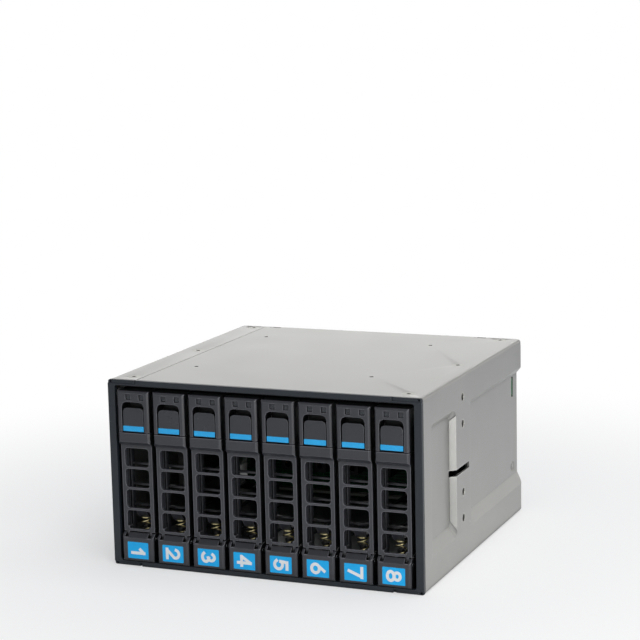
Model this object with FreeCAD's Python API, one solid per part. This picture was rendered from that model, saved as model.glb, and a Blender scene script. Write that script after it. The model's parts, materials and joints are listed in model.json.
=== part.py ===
import FreeCAD, Part
import math
import os

# Hot swap drive cage: eight sprung-lever trays for 2.5 inch drives, side by side in a steel box
# that fills two 5.25 inch bays. Millimetres, +Z up, the tray fronts face -Y. Everything is drawn
# with y = 0 at the face of the front frame, x = 0 in the middle and z = 0 at the underside;
# export() moves it so that the origin is the middle of the bounding box, at its lowest face.

Vec = FreeCAD.Vector

# ---------------------------------------------------------------- driving dimensions
# Steel box: two interlocking folded halves
CAGE_WIDTH = 146.0
CAGE_HEIGHT = 84.0
BOX_FRONT = 2.2            # the steel starts behind the front frame's face plate
BOX_REAR = 142.5
SHEET = 1.0
BEND_RADIUS = 1.5          # outside radius of every fold
FLANGE_WIDTH = 13.2        # fold that laps the other half's joggled edge
SEAM_GAP = 0.35
REAR_LIP = 6.0             # sheet turned in round the rear opening
CORNER_RELIEF = 1.2

# Pressed pockets in the side walls
POCKET_DEPTH = 2.5
POCKET_EDGE = 13.5         # from the underside and from the top face
POCKET_RADIUS = 3.0
POCKET_FLOOR_RADIUS = 2.0
POCKET_LOW_RUN = 5.4       # height of the long lower slope
POCKET_TOP_RUN = 3.0
POCKET_END_RUN = 2.2
FRONT_POCKET = (11.0, 44.0)
REAR_POCKET_START = 63.5

# Fixings in the box
BAY_HOLE_Y = 53.3
BAY_HOLE_FIRST = 10.0      # below the top face
BAY_HOLE_SECOND = 21.84
BAY_PITCH = 42.5
BAY_HOLE_RADIUS = 1.7
RELIEF_SLOT = (40.5, 61.5)
RELIEF_SLOT_HEIGHT = 2.8
REAR_HOLE_Z = 23.1
REAR_HOLE_RADIUS = 1.4
REAR_HOLE_SINK = 2.7
COVER_SCREW_IN = 8.6       # from the cage's sides
COVER_SCREW_FIRST = 8.8    # from the front
COVER_SCREW_MIDDLE = 72.9
COVER_SCREW_LAST = 5.9     # from the rear
COVER_SCREW_HEAD = 2.9
COVER_SCREW_RADIUS = 1.45
COVER_SCREW_LENGTH = 3.9
UNDER_SCREW_LENGTH = 2.5   # shorter, as less room is left under the trays
PEG_HOLE_X = (25.2, 109.8)  # from the left side
PEG_HOLE_Y = (37.4, 114.7)
PEG_HOLE_RADIUS = 1.0
LOCK_HOLE_Y = 13.4
LOCK_HOLE_SHIFT = -3.0
LOCK_HOLE_RADIUS = 0.9

# Front frame
FRAME_SIDE = 3.4
FRAME_TOP = 2.4
FRAME_BOTTOM = 2.3
FRAME_CORNER = 0.8
COLLAR_REAR = 6.0
COLLAR_WALL = 1.3
CORNER_STEP = 0.5
CORNER_STEP_HEIGHT = 1.5
CORNER_DOT_RADIUS = 0.45

# Trays
TRAY_COUNT = 8
TRAY_SIDE_ROOM = 4.2       # from the cage's side to the first tray's share of the width
TRAY_GAP = 1.9             # between neighbours
TRAY_BOTTOM = 2.7
TRAY_TOP_ROOM = 4.4        # below the cage's top face
TRAY_PROUD = 1.6           # how far the tray fronts stand out of the frame
EDGE_CHAMFER = 0.8
RUN_GAP = 0.3              # clearance between pieces that move past each other

# Tray rails and the drive space between them: 70.1 mm for a drive 69.85 mm wide, stood on edge
RAIL_SET_IN = 0.2
RAIL_SIDE_IN = 0.3
LOW_RAIL_THICK = 2.7
HIGH_RAIL_THICK = 3.7
RAIL_END_ROOM = 16.2       # from the rails' ends to the backplane
RAIL_LEAD = 3.0
DRIVE_HOLE_IN = 3.0        # from the drive's face
DRIVE_THICK = 15.0
DRIVE_HOLE_RADIUS = 1.5
DRIVE_END_ROOM = 9.7       # from a seated drive's connector end to the backplane
DRIVE_HOLE_BACK = (14.0, 90.6)

# Tray head with the latch button; heights are measured down from the tray's top
HEAD_HEIGHT = 18.4
HEAD_DEPTH = 9.0
HEAD_WALL = 1.2
BUTTON_WIDTH = 10.2
BUTTON_HEIGHT = 10.8
BUTTON_RADIUS = 1.8
BUTTON_THICK = 1.9
BUTTON_SET_BACK = 0.3
BUTTON_LIFT = 0.2          # above the head's lower edge
BUTTON_TRAVEL = 2.2
STEM_WIDTH = 3.0
STEM_HEIGHT = 5.0
STEM_LIFT = 2.6
THUMB_POCKET_DEPTH = 6.5   # behind the button's upper edge
THUMB_POCKET_DROP = 1.5
KEEPER_WIDTH = 6.4
KEEPER_THICK = 1.2

# Light pipes above the button
PIPE_X = (-2.15, 4.25)
PIPE_DROP = 2.6            # below the tray's top
PIPE_LENS = 2.3
LENS_RECESS = 0.6
PIPE_SIZE = 1.3

# Lever: the hinged front grille
LEVER_GAP = 0.3            # split line under the head
BAND_HEIGHT = 4.1
BAND_SLOPE = 1.9
GRILLE_SET_BACK = 2.2
GRILLE_BOTTOM = 15.9
GRILLE_WIDTH = 15.0
GRILLE_THICK = 1.4
WINDOW_COUNT = 4
WINDOW_WIDTH = 11.6
WINDOW_BAR = 1.0
GRILLE_RIM_TOP = 1.3
GRILLE_RIM_BOTTOM = 1.05
WINDOW_RADIUS = 1.3
LEVER_WALL = 1.1
LEVER_DEPTH = 5.4
SPINE_GAP = 1.4
SPINE_DEPTH = 3.4
SPINE_BAR_DEPTH = 1.5

# Lever hinge
HINGE_Y = 2.0
HINGE_Z = 12.7
HINGE_PIN_RADIUS = 1.0
HINGE_CLEARANCE = 0.09
PIN_SEAT_CLEARANCE = 0.04
EAR_RADIUS = 1.7
EAR_THICK = 1.2
CHEEK_THICK = 1.2
CHEEK_BACK = 0.8

# Label block below the lever
LABEL_BLOCK_TOP = 13.4
LABEL_BLOCK_RISE = 2.0     # of the slope that meets the grille's lower edge
LABEL_BLOCK_DEPTH = 9.0
LABEL_BLOCK_WALL = 1.6
SLOPE_WALL = 1.2
EAR_SLOT_LIP = 0.35        # left of the front wall's top where an ear swings over it
LABEL_WIDTH = 10.3
LABEL_BOTTOM = 4.0
LABEL_TOP = 11.6
LABEL_RECESS = 0.2

# Kick-out spring under the lever's heel
SPRING_X = 0.3
SPRING_Y = 7.1
SPRING_RADIUS = 2.2        # to the middle of the wire
SPRING_WIRE = 0.5
SPRING_BOTTOM = 8.0
SPRING_TOP = 21.5
SPRING_END_GAP = 0.05
SPRING_TURNS = 5
COIL_RUNS = 6
POST_RADIUS = 1.5
POST_SHORT = 4.0
SEAT_RIM = 0.6
HEEL_THICK = 1.0
HEEL_WIDTH = 5.0

# Guides that the trays run in
GUIDE_GAP = 0.3
GUIDE_END_ROOM = 2.2       # before the backplane
GUIDE_SIDE_GAP = 0.2
RIB_FRONT = 11.0
RIB_LEAD = 2.0
RIB_WIDTH = 1.5
RIB_HEIGHT = 3.0
GUIDE_OPENING_WIDTH = 9.0
GUIDE_OPENING_ENDS = 13.0

# Backplane and its connectors
BOARD_INSET = 8.3          # from the steel's rear
BOARD_THICK = 1.6
BOARD_SIDE_GAP = 0.3
BOARD_CLEAR = 4.1
BOARD_TAB_BOTTOM = 57.8
BOARD_TAB_HEIGHT = 8.4
BOARD_TAB_SLACK = 0.9
SOCKET_DEPTH = 8.7
SOCKET_HEIGHT = 42.7
SOCKET_WIDTH = 6.4
SOCKET_LIFT = 9.45         # above the lower rail
SOCKET_SLOT_WIDTH = 2.4
SOCKET_SLOT_DEPTH = 6.0
SOCKET_END_WALL = 2.0
AIR_SLOT_WIDTH = 7.0
AIR_SLOT_BOTTOM = 32.0
AIR_SLOT_TO_PORTS = 5.7
STANDOFF_IN = (16.0, 54.0)  # from the cage's sides
STANDOFF_Z = 6.2           # in from the top and bottom faces
STANDOFF_RADIUS = 2.2
BOARD_SCREW_RADIUS = 1.4
BOARD_SCREW_HOLE = 1.6
BOARD_SCREW_HEAD = 2.6
BOARD_SCREW_HEIGHT = 1.5
BRACKET_INSET = 3.1        # from the steel's rear
BRACKET_REACH = 6.0
BRACKET_HEIGHT = 9.0
BRACKET_TAB_X = (19.9, 126.95)  # from the left side
BRACKET_TAB_WIDTH = 4.0
DATA_IN = 51.0             # from the cage's sides
DATA_SIZE = (14.0, 13.5, 10.6)
DATA_WALL = 1.2
DATA_DEPTH = 10.0
POWER_IN = 23.0
POWER_SIZE = (23.4, 12.0, 9.4)
POWER_WALL = 1.4
POWER_DEPTH = 9.0
POWER_PIN_PITCH = 5.08
PORT_DROP = 19.0           # below the top face

# How finely small round forms are drawn
CORNER_STEPS = 2
FIXING_SIDES = 12
SMALL_SIDES = 8

# ---------------------------------------------------------------- derived sizes
HALF_WIDTH = CAGE_WIDTH / 2
SEAM_X = HALF_WIDTH - FLANGE_WIDTH
INNER_X = HALF_WIDTH - SHEET
INNER_TOP = CAGE_HEIGHT - SHEET
POCKET_FLOOR_X = HALF_WIDTH - POCKET_DEPTH
POCKET_SKIN_X = POCKET_FLOOR_X - SHEET

TRAY_PITCH = (CAGE_WIDTH - 2 * TRAY_SIDE_ROOM) / TRAY_COUNT
TRAY_WIDTH = TRAY_PITCH - TRAY_GAP
HALF_TRAY = TRAY_WIDTH / 2
TRAY_TOP = CAGE_HEIGHT - TRAY_TOP_ROOM
FACE_Y = -TRAY_PROUD
GRILLE_Y = FACE_Y + GRILLE_SET_BACK

BOARD_FRONT = BOX_REAR - BOARD_INSET
BOARD_REAR = BOARD_FRONT + BOARD_THICK
BOARD_MIDDLE = BOARD_FRONT + BOARD_THICK / 2
BRACKET_Y = BOX_REAR - BRACKET_INSET
DRIVE_REAR = BOARD_FRONT - DRIVE_END_ROOM
PORT_Z = CAGE_HEIGHT - PORT_DROP
REAR_END = BOARD_REAR + DATA_SIZE[1]

RAIL_WIDTH = TRAY_WIDTH - 2 * RAIL_SIDE_IN
RAIL_REAR = BOARD_FRONT - RAIL_END_ROOM
LOW_RAIL_BOTTOM = TRAY_BOTTOM + RAIL_SET_IN
LOW_RAIL_TOP = LOW_RAIL_BOTTOM + LOW_RAIL_THICK
HIGH_RAIL_TOP = TRAY_TOP - RAIL_SET_IN
HIGH_RAIL_BOTTOM = HIGH_RAIL_TOP - HIGH_RAIL_THICK
DRIVE_HOLE_X = DRIVE_HOLE_IN - DRIVE_THICK / 2

GUIDE_FRONT = COLLAR_REAR + RUN_GAP
GUIDE_REAR = BOARD_FRONT - GUIDE_END_ROOM
GUIDE_FLOOR = LOW_RAIL_BOTTOM - GUIDE_GAP
GUIDE_ROOF = TRAY_TOP + GUIDE_GAP
GUIDE_HALF = POCKET_SKIN_X - GUIDE_SIDE_GAP

HEAD_BOTTOM = TRAY_TOP - HEAD_HEIGHT
BUTTON_BOTTOM = HEAD_BOTTOM + BUTTON_LIFT
BUTTON_TOP = BUTTON_BOTTOM + BUTTON_HEIGHT
STEM_BOTTOM = BUTTON_BOTTOM + STEM_LIFT
STEM_TOP = STEM_BOTTOM + STEM_HEIGHT
PIPE_Z = TRAY_TOP - PIPE_DROP
LEVER_TOP = HEAD_BOTTOM - LEVER_GAP
BAND_BOTTOM = LEVER_TOP - BAND_HEIGHT
GRILLE_TOP = BAND_BOTTOM - BAND_SLOPE
WINDOW_TOP = GRILLE_TOP - GRILLE_RIM_TOP
WINDOW_PITCH = (WINDOW_TOP - GRILLE_BOTTOM - GRILLE_RIM_BOTTOM + WINDOW_BAR) / WINDOW_COUNT
WINDOW_HEIGHT = WINDOW_PITCH - WINDOW_BAR

SOCKET_BOTTOM = LOW_RAIL_TOP + SOCKET_LIFT
AIR_SLOT_TOP = PORT_Z - DATA_SIZE[2] / 2 - AIR_SLOT_TO_PORTS

BAY_HOLES_Z = tuple(
    CAGE_HEIGHT - drop - bay * BAY_PITCH
    for bay in (0, 1)
    for drop in (BAY_HOLE_FIRST, BAY_HOLE_SECOND)
)
CENTRE_Y = (REAR_END - TRAY_PROUD) / 2


# ---------------------------------------------------------------- helpers
def box(x0, x1, y0, y1, z0, z1):
    return Part.makeBox(x1 - x0, y1 - y0, z1 - z0, Vec(x0, y0, z0))


def rod(start, end, radius):
    along = end - start
    return Part.makeCylinder(radius, along.Length, start, along)


def ring(centre, along, radius, sides):
    """Corners of a regular polygon about an axis, lying evenly about the true circle."""
    reach = 2 * radius / (1 + math.cos(math.pi / sides))
    side = Vec(1, 0, 0) if abs(along.z) > 0.5 * along.Length else Vec(0, 0, 1)
    other = along.cross(side)
    other.normalize()
    corners = []
    for k in range(sides):
        turn = 2 * math.pi * (k + 0.5) / sides
        corners.append(centre + side * (reach * math.cos(turn)) + other * (reach * math.sin(turn)))
    return corners


def flat(corners):
    return Part.Face(Part.makePolygon(corners + corners[:1]))


def hull_between(first, last):
    """Solid with flat faces between two polygons that have matching, parallel edges."""
    faces = [flat(first), flat(last)]
    for k in range(len(first)):
        n = (k + 1) % len(first)
        faces.append(flat([first[k], first[n], last[n], last[k]]))
    solid = Part.Solid(Part.Shell(faces))
    if solid.Volume < 0:
        solid.reverse()
    return solid


def peg(start, end, radius, sides=FIXING_SIDES):
    """Light stand-in for a small round bar or bore."""
    along = end - start
    return flat(ring(start, along, radius, sides)).extrude(along)


def taper(start, end, first, last, sides=FIXING_SIDES):
    along = end - start
    return hull_between(ring(start, along, first, sides), ring(end, along, last, sides))


def rounded_corner(here, before, after, radius, steps):
    """Points along the arc that rounds a corner: its ends and middle where steps is 0."""
    before, after = before - here, after - here
    before.normalize()
    after.normalize()
    half = before.getAngle(after) / 2
    middle = before + after
    middle.normalize()
    centre = here + middle * (radius / math.sin(half))
    reach = radius / math.tan(half)
    enter, leave = here + before * reach, here + after * reach
    if steps == 0:
        return [enter, centre - middle * radius, leave]
    spoke = enter - centre
    swing = math.pi - 2 * half
    if spoke.cross(leave - centre).z < 0:
        swing = -swing
    points = []
    for k in range(steps + 1):
        cos, sin = math.cos(swing * k / steps), math.sin(swing * k / steps)
        points.append(centre + Vec(spoke.x * cos - spoke.y * sin, spoke.x * sin + spoke.y * cos, 0))
    return points


def corner_lists(points, steps):
    """One list of points per corner of an outline of (a, b) or (a, b, corner radius)."""
    flat_points = [Vec(point[0], point[1], 0) for point in points]
    corners = []
    for index, point in enumerate(points):
        if len(point) < 3 or point[2] == 0:
            corners.append([flat_points[index]])
            continue
        following = flat_points[(index + 1) % len(points)]
        corners.append(rounded_corner(flat_points[index], flat_points[index - 1], following, point[2], steps))
    return corners


def outline(points, place, steps=CORNER_STEPS):
    """Closed wire, put in space by place(a, b); rounded corners are true arcs where steps is 0."""
    corners = corner_lists(points, steps)
    edges = []
    for index, corner in enumerate(corners):
        spots = [place(v.x, v.y) for v in corner]
        if steps == 0 and len(corner) == 3:
            edges.append(Part.Arc(*spots).toShape())
        else:
            for a, b in zip(spots, spots[1:]):
                edges.append(Part.LineSegment(a, b).toShape())
        following = corners[(index + 1) % len(corners)][0]
        if (following - corner[-1]).Length > 1e-6:
            edges.append(Part.LineSegment(spots[-1], place(following.x, following.y)).toShape())
    return Part.Wire(edges)


def stepped(points, place):
    """The same outline as a plain list of corners."""
    return [place(v.x, v.y) for corner in corner_lists(points, CORNER_STEPS) for v in corner]


def prism_x(points, x0, x1):
    face = Part.Face(outline(points, lambda y, z: Vec(x0, y, z)))
    return face.extrude(Vec(x1 - x0, 0, 0))


def prism_y(points, y0, y1, steps=CORNER_STEPS):
    face = Part.Face(outline(points, lambda x, z: Vec(x, y0, z), steps))
    return face.extrude(Vec(0, y1 - y0, 0))


def rounded(a0, a1, b0, b1, radius):
    return [(a0, b0, radius), (a1, b0, radius), (a1, b1, radius), (a0, b1, radius)]


def join(*pieces):
    return pieces[0].multiFuse(list(pieces[1:])).removeSplitter()


def carve(body, *tools):
    return body.cut(list(tools)).removeSplitter()


def turned(shape):
    """The same shape turned half round about the cage's long middle axis."""
    copy = shape.copy()
    copy.rotate(Vec(0, 0, CAGE_HEIGHT / 2), Vec(0, 1, 0), 180)
    return copy


def over(shape):
    """The same shape mirrored top to bottom in the cage's height."""
    return shape.mirror(Vec(0, 0, CAGE_HEIGHT / 2), Vec(0, 0, 1))


def mirrored_x(shape):
    return shape.mirror(Vec(0, 0, 0), Vec(1, 0, 0))


def tray_x(index):
    return (index - (TRAY_COUNT - 1) / 2) * TRAY_PITCH


def export(name, shape):
    placed = shape.copy()
    placed.translate(Vec(0, -CENTRE_Y, 0))
    placed.exportStep("parts/" + name + ".step")


# ---------------------------------------------------------------- steel box
def pocket(y0, y1, outer_x):
    """Solid that a pressed pocket removes, from its mouth at outer_x to its floor."""
    low, high = POCKET_EDGE, CAGE_HEIGHT - POCKET_EDGE
    run = POCKET_END_RUN
    mouth = rounded(y0, y1, low, high, POCKET_RADIUS)
    floor = rounded(y0 + run, y1 - run, low + POCKET_LOW_RUN, high - POCKET_TOP_RUN, POCKET_FLOOR_RADIUS)
    return hull_between(
        stepped(mouth, lambda y, z: Vec(outer_x, y, z)),
        stepped(floor, lambda y, z: Vec(outer_x - POCKET_DEPTH, y, z)),
    )


def folded_section():
    """Top sheet with a joggled left edge, right wall and the flange folded under it."""
    start = -SEAM_X + SEAM_GAP
    inner = BEND_RADIUS - SHEET
    edge = -INNER_X + 2 * RUN_GAP
    return [
        (edge, CAGE_HEIGHT - 2 * SHEET),
        (edge, INNER_TOP),
        (start, INNER_TOP),
        (start, CAGE_HEIGHT),
        (HALF_WIDTH, CAGE_HEIGHT, BEND_RADIUS),
        (HALF_WIDTH, 0, BEND_RADIUS),
        (SEAM_X, 0),
        (SEAM_X, SHEET),
        (INNER_X, SHEET, inner),
        (INNER_X, INNER_TOP, inner),
        (start + SHEET, INNER_TOP),
        (start + SHEET, CAGE_HEIGHT - 2 * SHEET),
    ]


def lip_section(outer, place):
    """Quarter bend and turned-in lip at the rear edge of a wall whose outer face is at outer."""
    inner = outer - SHEET
    bend = BOX_REAR - BEND_RADIUS
    return Part.Face(outline(
        [
            (bend, outer),
            (BOX_REAR, outer, BEND_RADIUS),
            (BOX_REAR, outer - REAR_LIP),
            (BOX_REAR - SHEET, outer - REAR_LIP),
            (BOX_REAR - SHEET, inner, BEND_RADIUS - SHEET),
            (bend, inner),
        ],
        place,
        0,
    ))


def wall_pressings():
    """Sheet added inside the right wall for its pockets, and all that is cut from that wall."""
    spans = (FRONT_POCKET, (REAR_POCKET_START, BOX_REAR + 3 * POCKET_RADIUS + POCKET_DEPTH))
    room = box(0, HALF_WIDTH, 0, BOX_REAR, 0, CAGE_HEIGHT)
    backs = [pocket(y0, y1, INNER_X).common(room) for y0, y1 in spans]
    cuts = [pocket(y0, y1, HALF_WIDTH) for y0, y1 in spans]

    deep = POCKET_SKIN_X - SHEET
    wide = HALF_WIDTH + SHEET
    for z in BAY_HOLES_Z:
        cuts.append(rod(Vec(deep, BAY_HOLE_Y, z), Vec(wide, BAY_HOLE_Y, z), BAY_HOLE_RADIUS))
    rear_hole = Vec(POCKET_FLOOR_X, BOARD_MIDDLE, REAR_HOLE_Z)
    cuts.append(taper(rear_hole - Vec(1.2 * SHEET, 0, 0), rear_hole, REAR_HOLE_RADIUS, REAR_HOLE_SINK))
    slot_low = (CAGE_HEIGHT - RELIEF_SLOT_HEIGHT) / 2
    slot_high = (CAGE_HEIGHT + RELIEF_SLOT_HEIGHT) / 2
    cuts.append(box(deep, wide, RELIEF_SLOT[0], RELIEF_SLOT[1], slot_low, slot_high))
    round_end = BOARD_THICK / 2 + 2 * SEAM_GAP
    tab_low = BOARD_TAB_BOTTOM - BOARD_TAB_SLACK
    tab_high = BOARD_TAB_BOTTOM + BOARD_TAB_HEIGHT + BOARD_TAB_SLACK
    slot = rounded(BOARD_MIDDLE - round_end, BOARD_MIDDLE + round_end, tab_low, tab_high, round_end - 0.01)
    cuts.append(prism_x(slot, deep, wide))
    return backs, cuts


def half_box(upside_down):
    """One folded half, as the upper one stands; upside_down swaps the right wall top to bottom."""
    sheet = prism_y(folded_section(), BOX_FRONT, BOX_REAR - BEND_RADIUS, 0)
    corner = BEND_RADIUS + CORNER_RELIEF
    left = -SEAM_X + SEAM_GAP
    right = HALF_WIDTH - corner
    low = FLANGE_WIDTH
    high = CAGE_HEIGHT - corner
    top_lip = lip_section(CAGE_HEIGHT, lambda y, z: Vec(left, y, z)).extrude(Vec(right - left, 0, 0))
    side_lip = lip_section(HALF_WIDTH, lambda y, x: Vec(x, y, low)).extrude(Vec(0, 0, high - low))
    clash = box(HALF_WIDTH - REAR_LIP - 0.5, HALF_WIDTH - SHEET - 0.5, BOX_REAR - 1.2 * SHEET, BOX_REAR + 1,
                CAGE_HEIGHT - REAR_LIP - CORNER_RELIEF, high)
    shell = join(sheet, top_lip, side_lip.cut(clash))

    backs, cuts = wall_pressings()
    if upside_down:
        backs = [over(shape) for shape in backs]
        cuts = [over(shape) for shape in cuts]
    slots = []
    for x in bracket_tab_sites():
        half = BRACKET_TAB_WIDTH / 2 + SEAM_GAP / 2
        y0, y1 = BRACKET_Y - SEAM_GAP / 2, BRACKET_Y + SHEET + SEAM_GAP / 2
        slots.append(box(x - half, x + half, y0, y1, INNER_TOP - SHEET, CAGE_HEIGHT + SHEET))
        dot = Vec(x - half - 1.2, BRACKET_Y + SHEET / 2, INNER_TOP - SHEET)
        slots.append(peg(dot, dot + Vec(0, 0, 3 * SHEET), 0.5, SMALL_SIDES))
    return carve(join(shell, *backs), *cuts, *slots)


def bracket_tab_sites():
    return [x - HALF_WIDTH for x in BRACKET_TAB_X]


def cover_screw_sites():
    reach = HALF_WIDTH - COVER_SCREW_IN
    rows = (COVER_SCREW_FIRST, COVER_SCREW_MIDDLE, BOX_REAR - COVER_SCREW_LAST)
    return [(x, y) for x in (-reach, reach) for y in rows]


def screw_shape(x, y, length, slack):
    """Countersunk screw driven down from the top face; slack widens it into its hole."""
    top = CAGE_HEIGHT
    narrow = COVER_SCREW_RADIUS + slack
    seat = Vec(x, y, top - SHEET)
    head = taper(seat, Vec(x, y, top), narrow, COVER_SCREW_HEAD + slack)
    shank = peg(Vec(x, y, top - length - slack), seat, narrow)
    return join(head, shank)


def cover_screw_shapes(slack):
    upper = [screw_shape(x, y, COVER_SCREW_LENGTH, slack) for x, y in cover_screw_sites()]
    under = [turned(screw_shape(x, y, UNDER_SCREW_LENGTH, slack)) for x, y in cover_screw_sites()]
    return upper + under


def screw_holes():
    return cover_screw_shapes(0.06)


def lock_holes():
    spots = [Vec(tray_x(i) + LOCK_HOLE_SHIFT, LOCK_HOLE_Y, -SHEET) for i in range(TRAY_COUNT)]
    up = Vec(0, 0, GUIDE_FLOOR + 3 * SHEET)
    return [peg(spot, spot + up, LOCK_HOLE_RADIUS, SMALL_SIDES) for spot in spots]


def upper_shell():
    low, high = INNER_TOP - SHEET, CAGE_HEIGHT + SHEET
    pegs = [
        peg(Vec(x - HALF_WIDTH, y, low), Vec(x - HALF_WIDTH, y, high), PEG_HOLE_RADIUS, SMALL_SIDES)
        for x in PEG_HOLE_X
        for y in PEG_HOLE_Y
    ]
    return carve(half_box(False), *pegs, *screw_holes())


def lower_shell():
    return carve(turned(half_box(True)), *lock_holes(), *screw_holes())


def cover_screws():
    return Part.makeCompound(cover_screw_shapes(0))


# ---------------------------------------------------------------- front frame
def front_frame():
    open_x = HALF_WIDTH - FRAME_SIDE
    open_low = FRAME_BOTTOM
    open_high = CAGE_HEIGHT - FRAME_TOP
    plate = prism_y(rounded(-HALF_WIDTH, HALF_WIDTH, 0, CAGE_HEIGHT, FRAME_CORNER), 0, BOX_FRONT)
    across = SEAM_X - 2 * SHEET
    collar = [
        box(-across, across, BOX_FRONT, COLLAR_REAR, open_high, INNER_TOP),
        box(-across, across, BOX_FRONT, COLLAR_REAR, SHEET, open_low),
    ]
    for side in (-1, 1):
        x0, x1 = sorted((side * (INNER_X - COLLAR_WALL), side * INNER_X))
        collar.append(box(x0, x1, BOX_FRONT, COLLAR_REAR, FLANGE_WIDTH, CAGE_HEIGHT - FLANGE_WIDTH))
    tools = [prism_y(rounded(-open_x, open_x, open_low, open_high, FRAME_CORNER), -1, BOX_FRONT + 1)]
    step = CORNER_STEP_HEIGHT
    for side in (-1, 1):
        for low, high in ((-step, step), (CAGE_HEIGHT - step, CAGE_HEIGHT + step)):
            x0, x1 = sorted((side * SEAM_X, side * (HALF_WIDTH + 1)))
            tools.append(box(x0, x1, -1, CORNER_STEP, low, high))
            seam = side * SEAM_X
            tools.append(box(seam - CORNER_STEP, seam + CORNER_STEP, -1, BOX_FRONT / 2, low, high))
            spot = Vec(side * (HALF_WIDTH - COLLAR_WALL), -1, min(high, CAGE_HEIGHT) - step / 2)
            tools.append(peg(spot, spot + Vec(0, 2 + BOX_FRONT, 0), CORNER_DOT_RADIUS, SMALL_SIDES))
    return carve(join(plate, *collar), *tools)


# ---------------------------------------------------------------- tray guides
def guide_ribs(root, tip):
    """Ribs between the trays, from root to tip height, with a slope at their front ends."""
    side = [(RIB_FRONT, root), (GUIDE_REAR, root), (GUIDE_REAR, tip), (RIB_FRONT + RIB_LEAD, tip)]
    half = RIB_WIDTH / 2
    middles = [tray_x(i) - TRAY_PITCH / 2 for i in range(TRAY_COUNT + 1)]
    return [prism_x(side, x - half, x + half) for x in middles]


def guide_openings(z0, z1):
    half = GUIDE_OPENING_WIDTH / 2
    front, rear = GUIDE_FRONT + GUIDE_OPENING_ENDS, GUIDE_REAR - GUIDE_OPENING_ENDS
    return [box(tray_x(i) - half, tray_x(i) + half, front, rear, z0, z1) for i in range(TRAY_COUNT)]


def lower_guide():
    floor = box(-GUIDE_HALF, GUIDE_HALF, GUIDE_FRONT, GUIDE_REAR, SHEET, GUIDE_FLOOR)
    lap = box(SEAM_X - 2 * SHEET, HALF_WIDTH, GUIDE_FRONT - 1, GUIDE_REAR + 1, 0, 2 * SHEET)
    plate = carve(floor, lap, *lock_holes(), *guide_openings(0, GUIDE_FLOOR + 1))
    ribs = guide_ribs(GUIDE_FLOOR - SHEET / 2, GUIDE_FLOOR + RIB_HEIGHT)
    return carve(join(plate, *ribs), *screw_holes())


def upper_guide():
    roof = box(-GUIDE_HALF, GUIDE_HALF, GUIDE_FRONT, GUIDE_REAR, GUIDE_ROOF, INNER_TOP)
    lap_front, lap_rear = GUIDE_FRONT - 1, GUIDE_REAR + 1
    lap = box(-HALF_WIDTH, -SEAM_X + 2 * SHEET, lap_front, lap_rear, INNER_TOP - SHEET, CAGE_HEIGHT)
    plate = carve(roof, lap, *guide_openings(GUIDE_ROOF - 1, CAGE_HEIGHT))
    ribs = guide_ribs(GUIDE_ROOF + SHEET / 2, GUIDE_ROOF - RIB_HEIGHT)
    return carve(join(plate, *ribs), *screw_holes())


# ---------------------------------------------------------------- backplane
def standoff_xs():
    return [side * (HALF_WIDTH - inset) for side in (-1, 1) for inset in STANDOFF_IN]


def standoff_sites():
    return [(x, z) for x in standoff_xs() for z in (STANDOFF_Z, CAGE_HEIGHT - STANDOFF_Z)]


def backplane():
    half = POCKET_SKIN_X - BOARD_SIDE_GAP
    tab_top = BOARD_TAB_BOTTOM + BOARD_TAB_HEIGHT
    board = box(-half, half, BOARD_FRONT, BOARD_REAR, BOARD_CLEAR, CAGE_HEIGHT - BOARD_CLEAR)
    tabs = box(-POCKET_FLOOR_X, POCKET_FLOOR_X, BOARD_FRONT, BOARD_REAR, BOARD_TAB_BOTTOM, tab_top)
    tools = []
    for i in range(TRAY_COUNT - 1):
        x = tray_x(i) + TRAY_PITCH / 2
        x0, x1 = x - AIR_SLOT_WIDTH / 2, x + AIR_SLOT_WIDTH / 2
        tools.append(box(x0, x1, BOARD_FRONT - 1, BOARD_REAR + 1, AIR_SLOT_BOTTOM, AIR_SLOT_TOP))
    for x, z in standoff_sites():
        spot = Vec(x, BOARD_FRONT - 1, z)
        tools.append(peg(spot, spot + Vec(0, 2 + BOARD_THICK, 0), BOARD_SCREW_HOLE, SMALL_SIDES))
    return carve(join(board, tabs), *tools)


def board_screws():
    screws = []
    for x, z in standoff_sites():
        face = Vec(x, BOARD_FRONT, z)
        head = peg(face - Vec(0, BOARD_SCREW_HEIGHT, 0), face, BOARD_SCREW_HEAD, SMALL_SIDES)
        shank = peg(Vec(x, BOARD_FRONT, z), Vec(x, BRACKET_Y - 0.6, z), BOARD_SCREW_RADIUS, SMALL_SIDES)
        screws.append(join(head, shank))
    return Part.makeCompound(screws)


def drive_sockets():
    sockets = []
    low, high = SOCKET_BOTTOM, SOCKET_BOTTOM + SOCKET_HEIGHT
    front = BOARD_FRONT - SOCKET_DEPTH
    half, slot = SOCKET_WIDTH / 2, SOCKET_SLOT_WIDTH / 2
    slot_low, slot_high = low + SOCKET_END_WALL, high - SOCKET_END_WALL
    for i in range(TRAY_COUNT):
        x = tray_x(i)
        body = box(x - half, x + half, front, BOARD_FRONT, low, high)
        mouth = box(x - slot, x + slot, front - 1, front + SOCKET_SLOT_DEPTH, slot_low, slot_high)
        sockets.append(carve(body, mouth))
    return Part.makeCompound(sockets)


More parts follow.
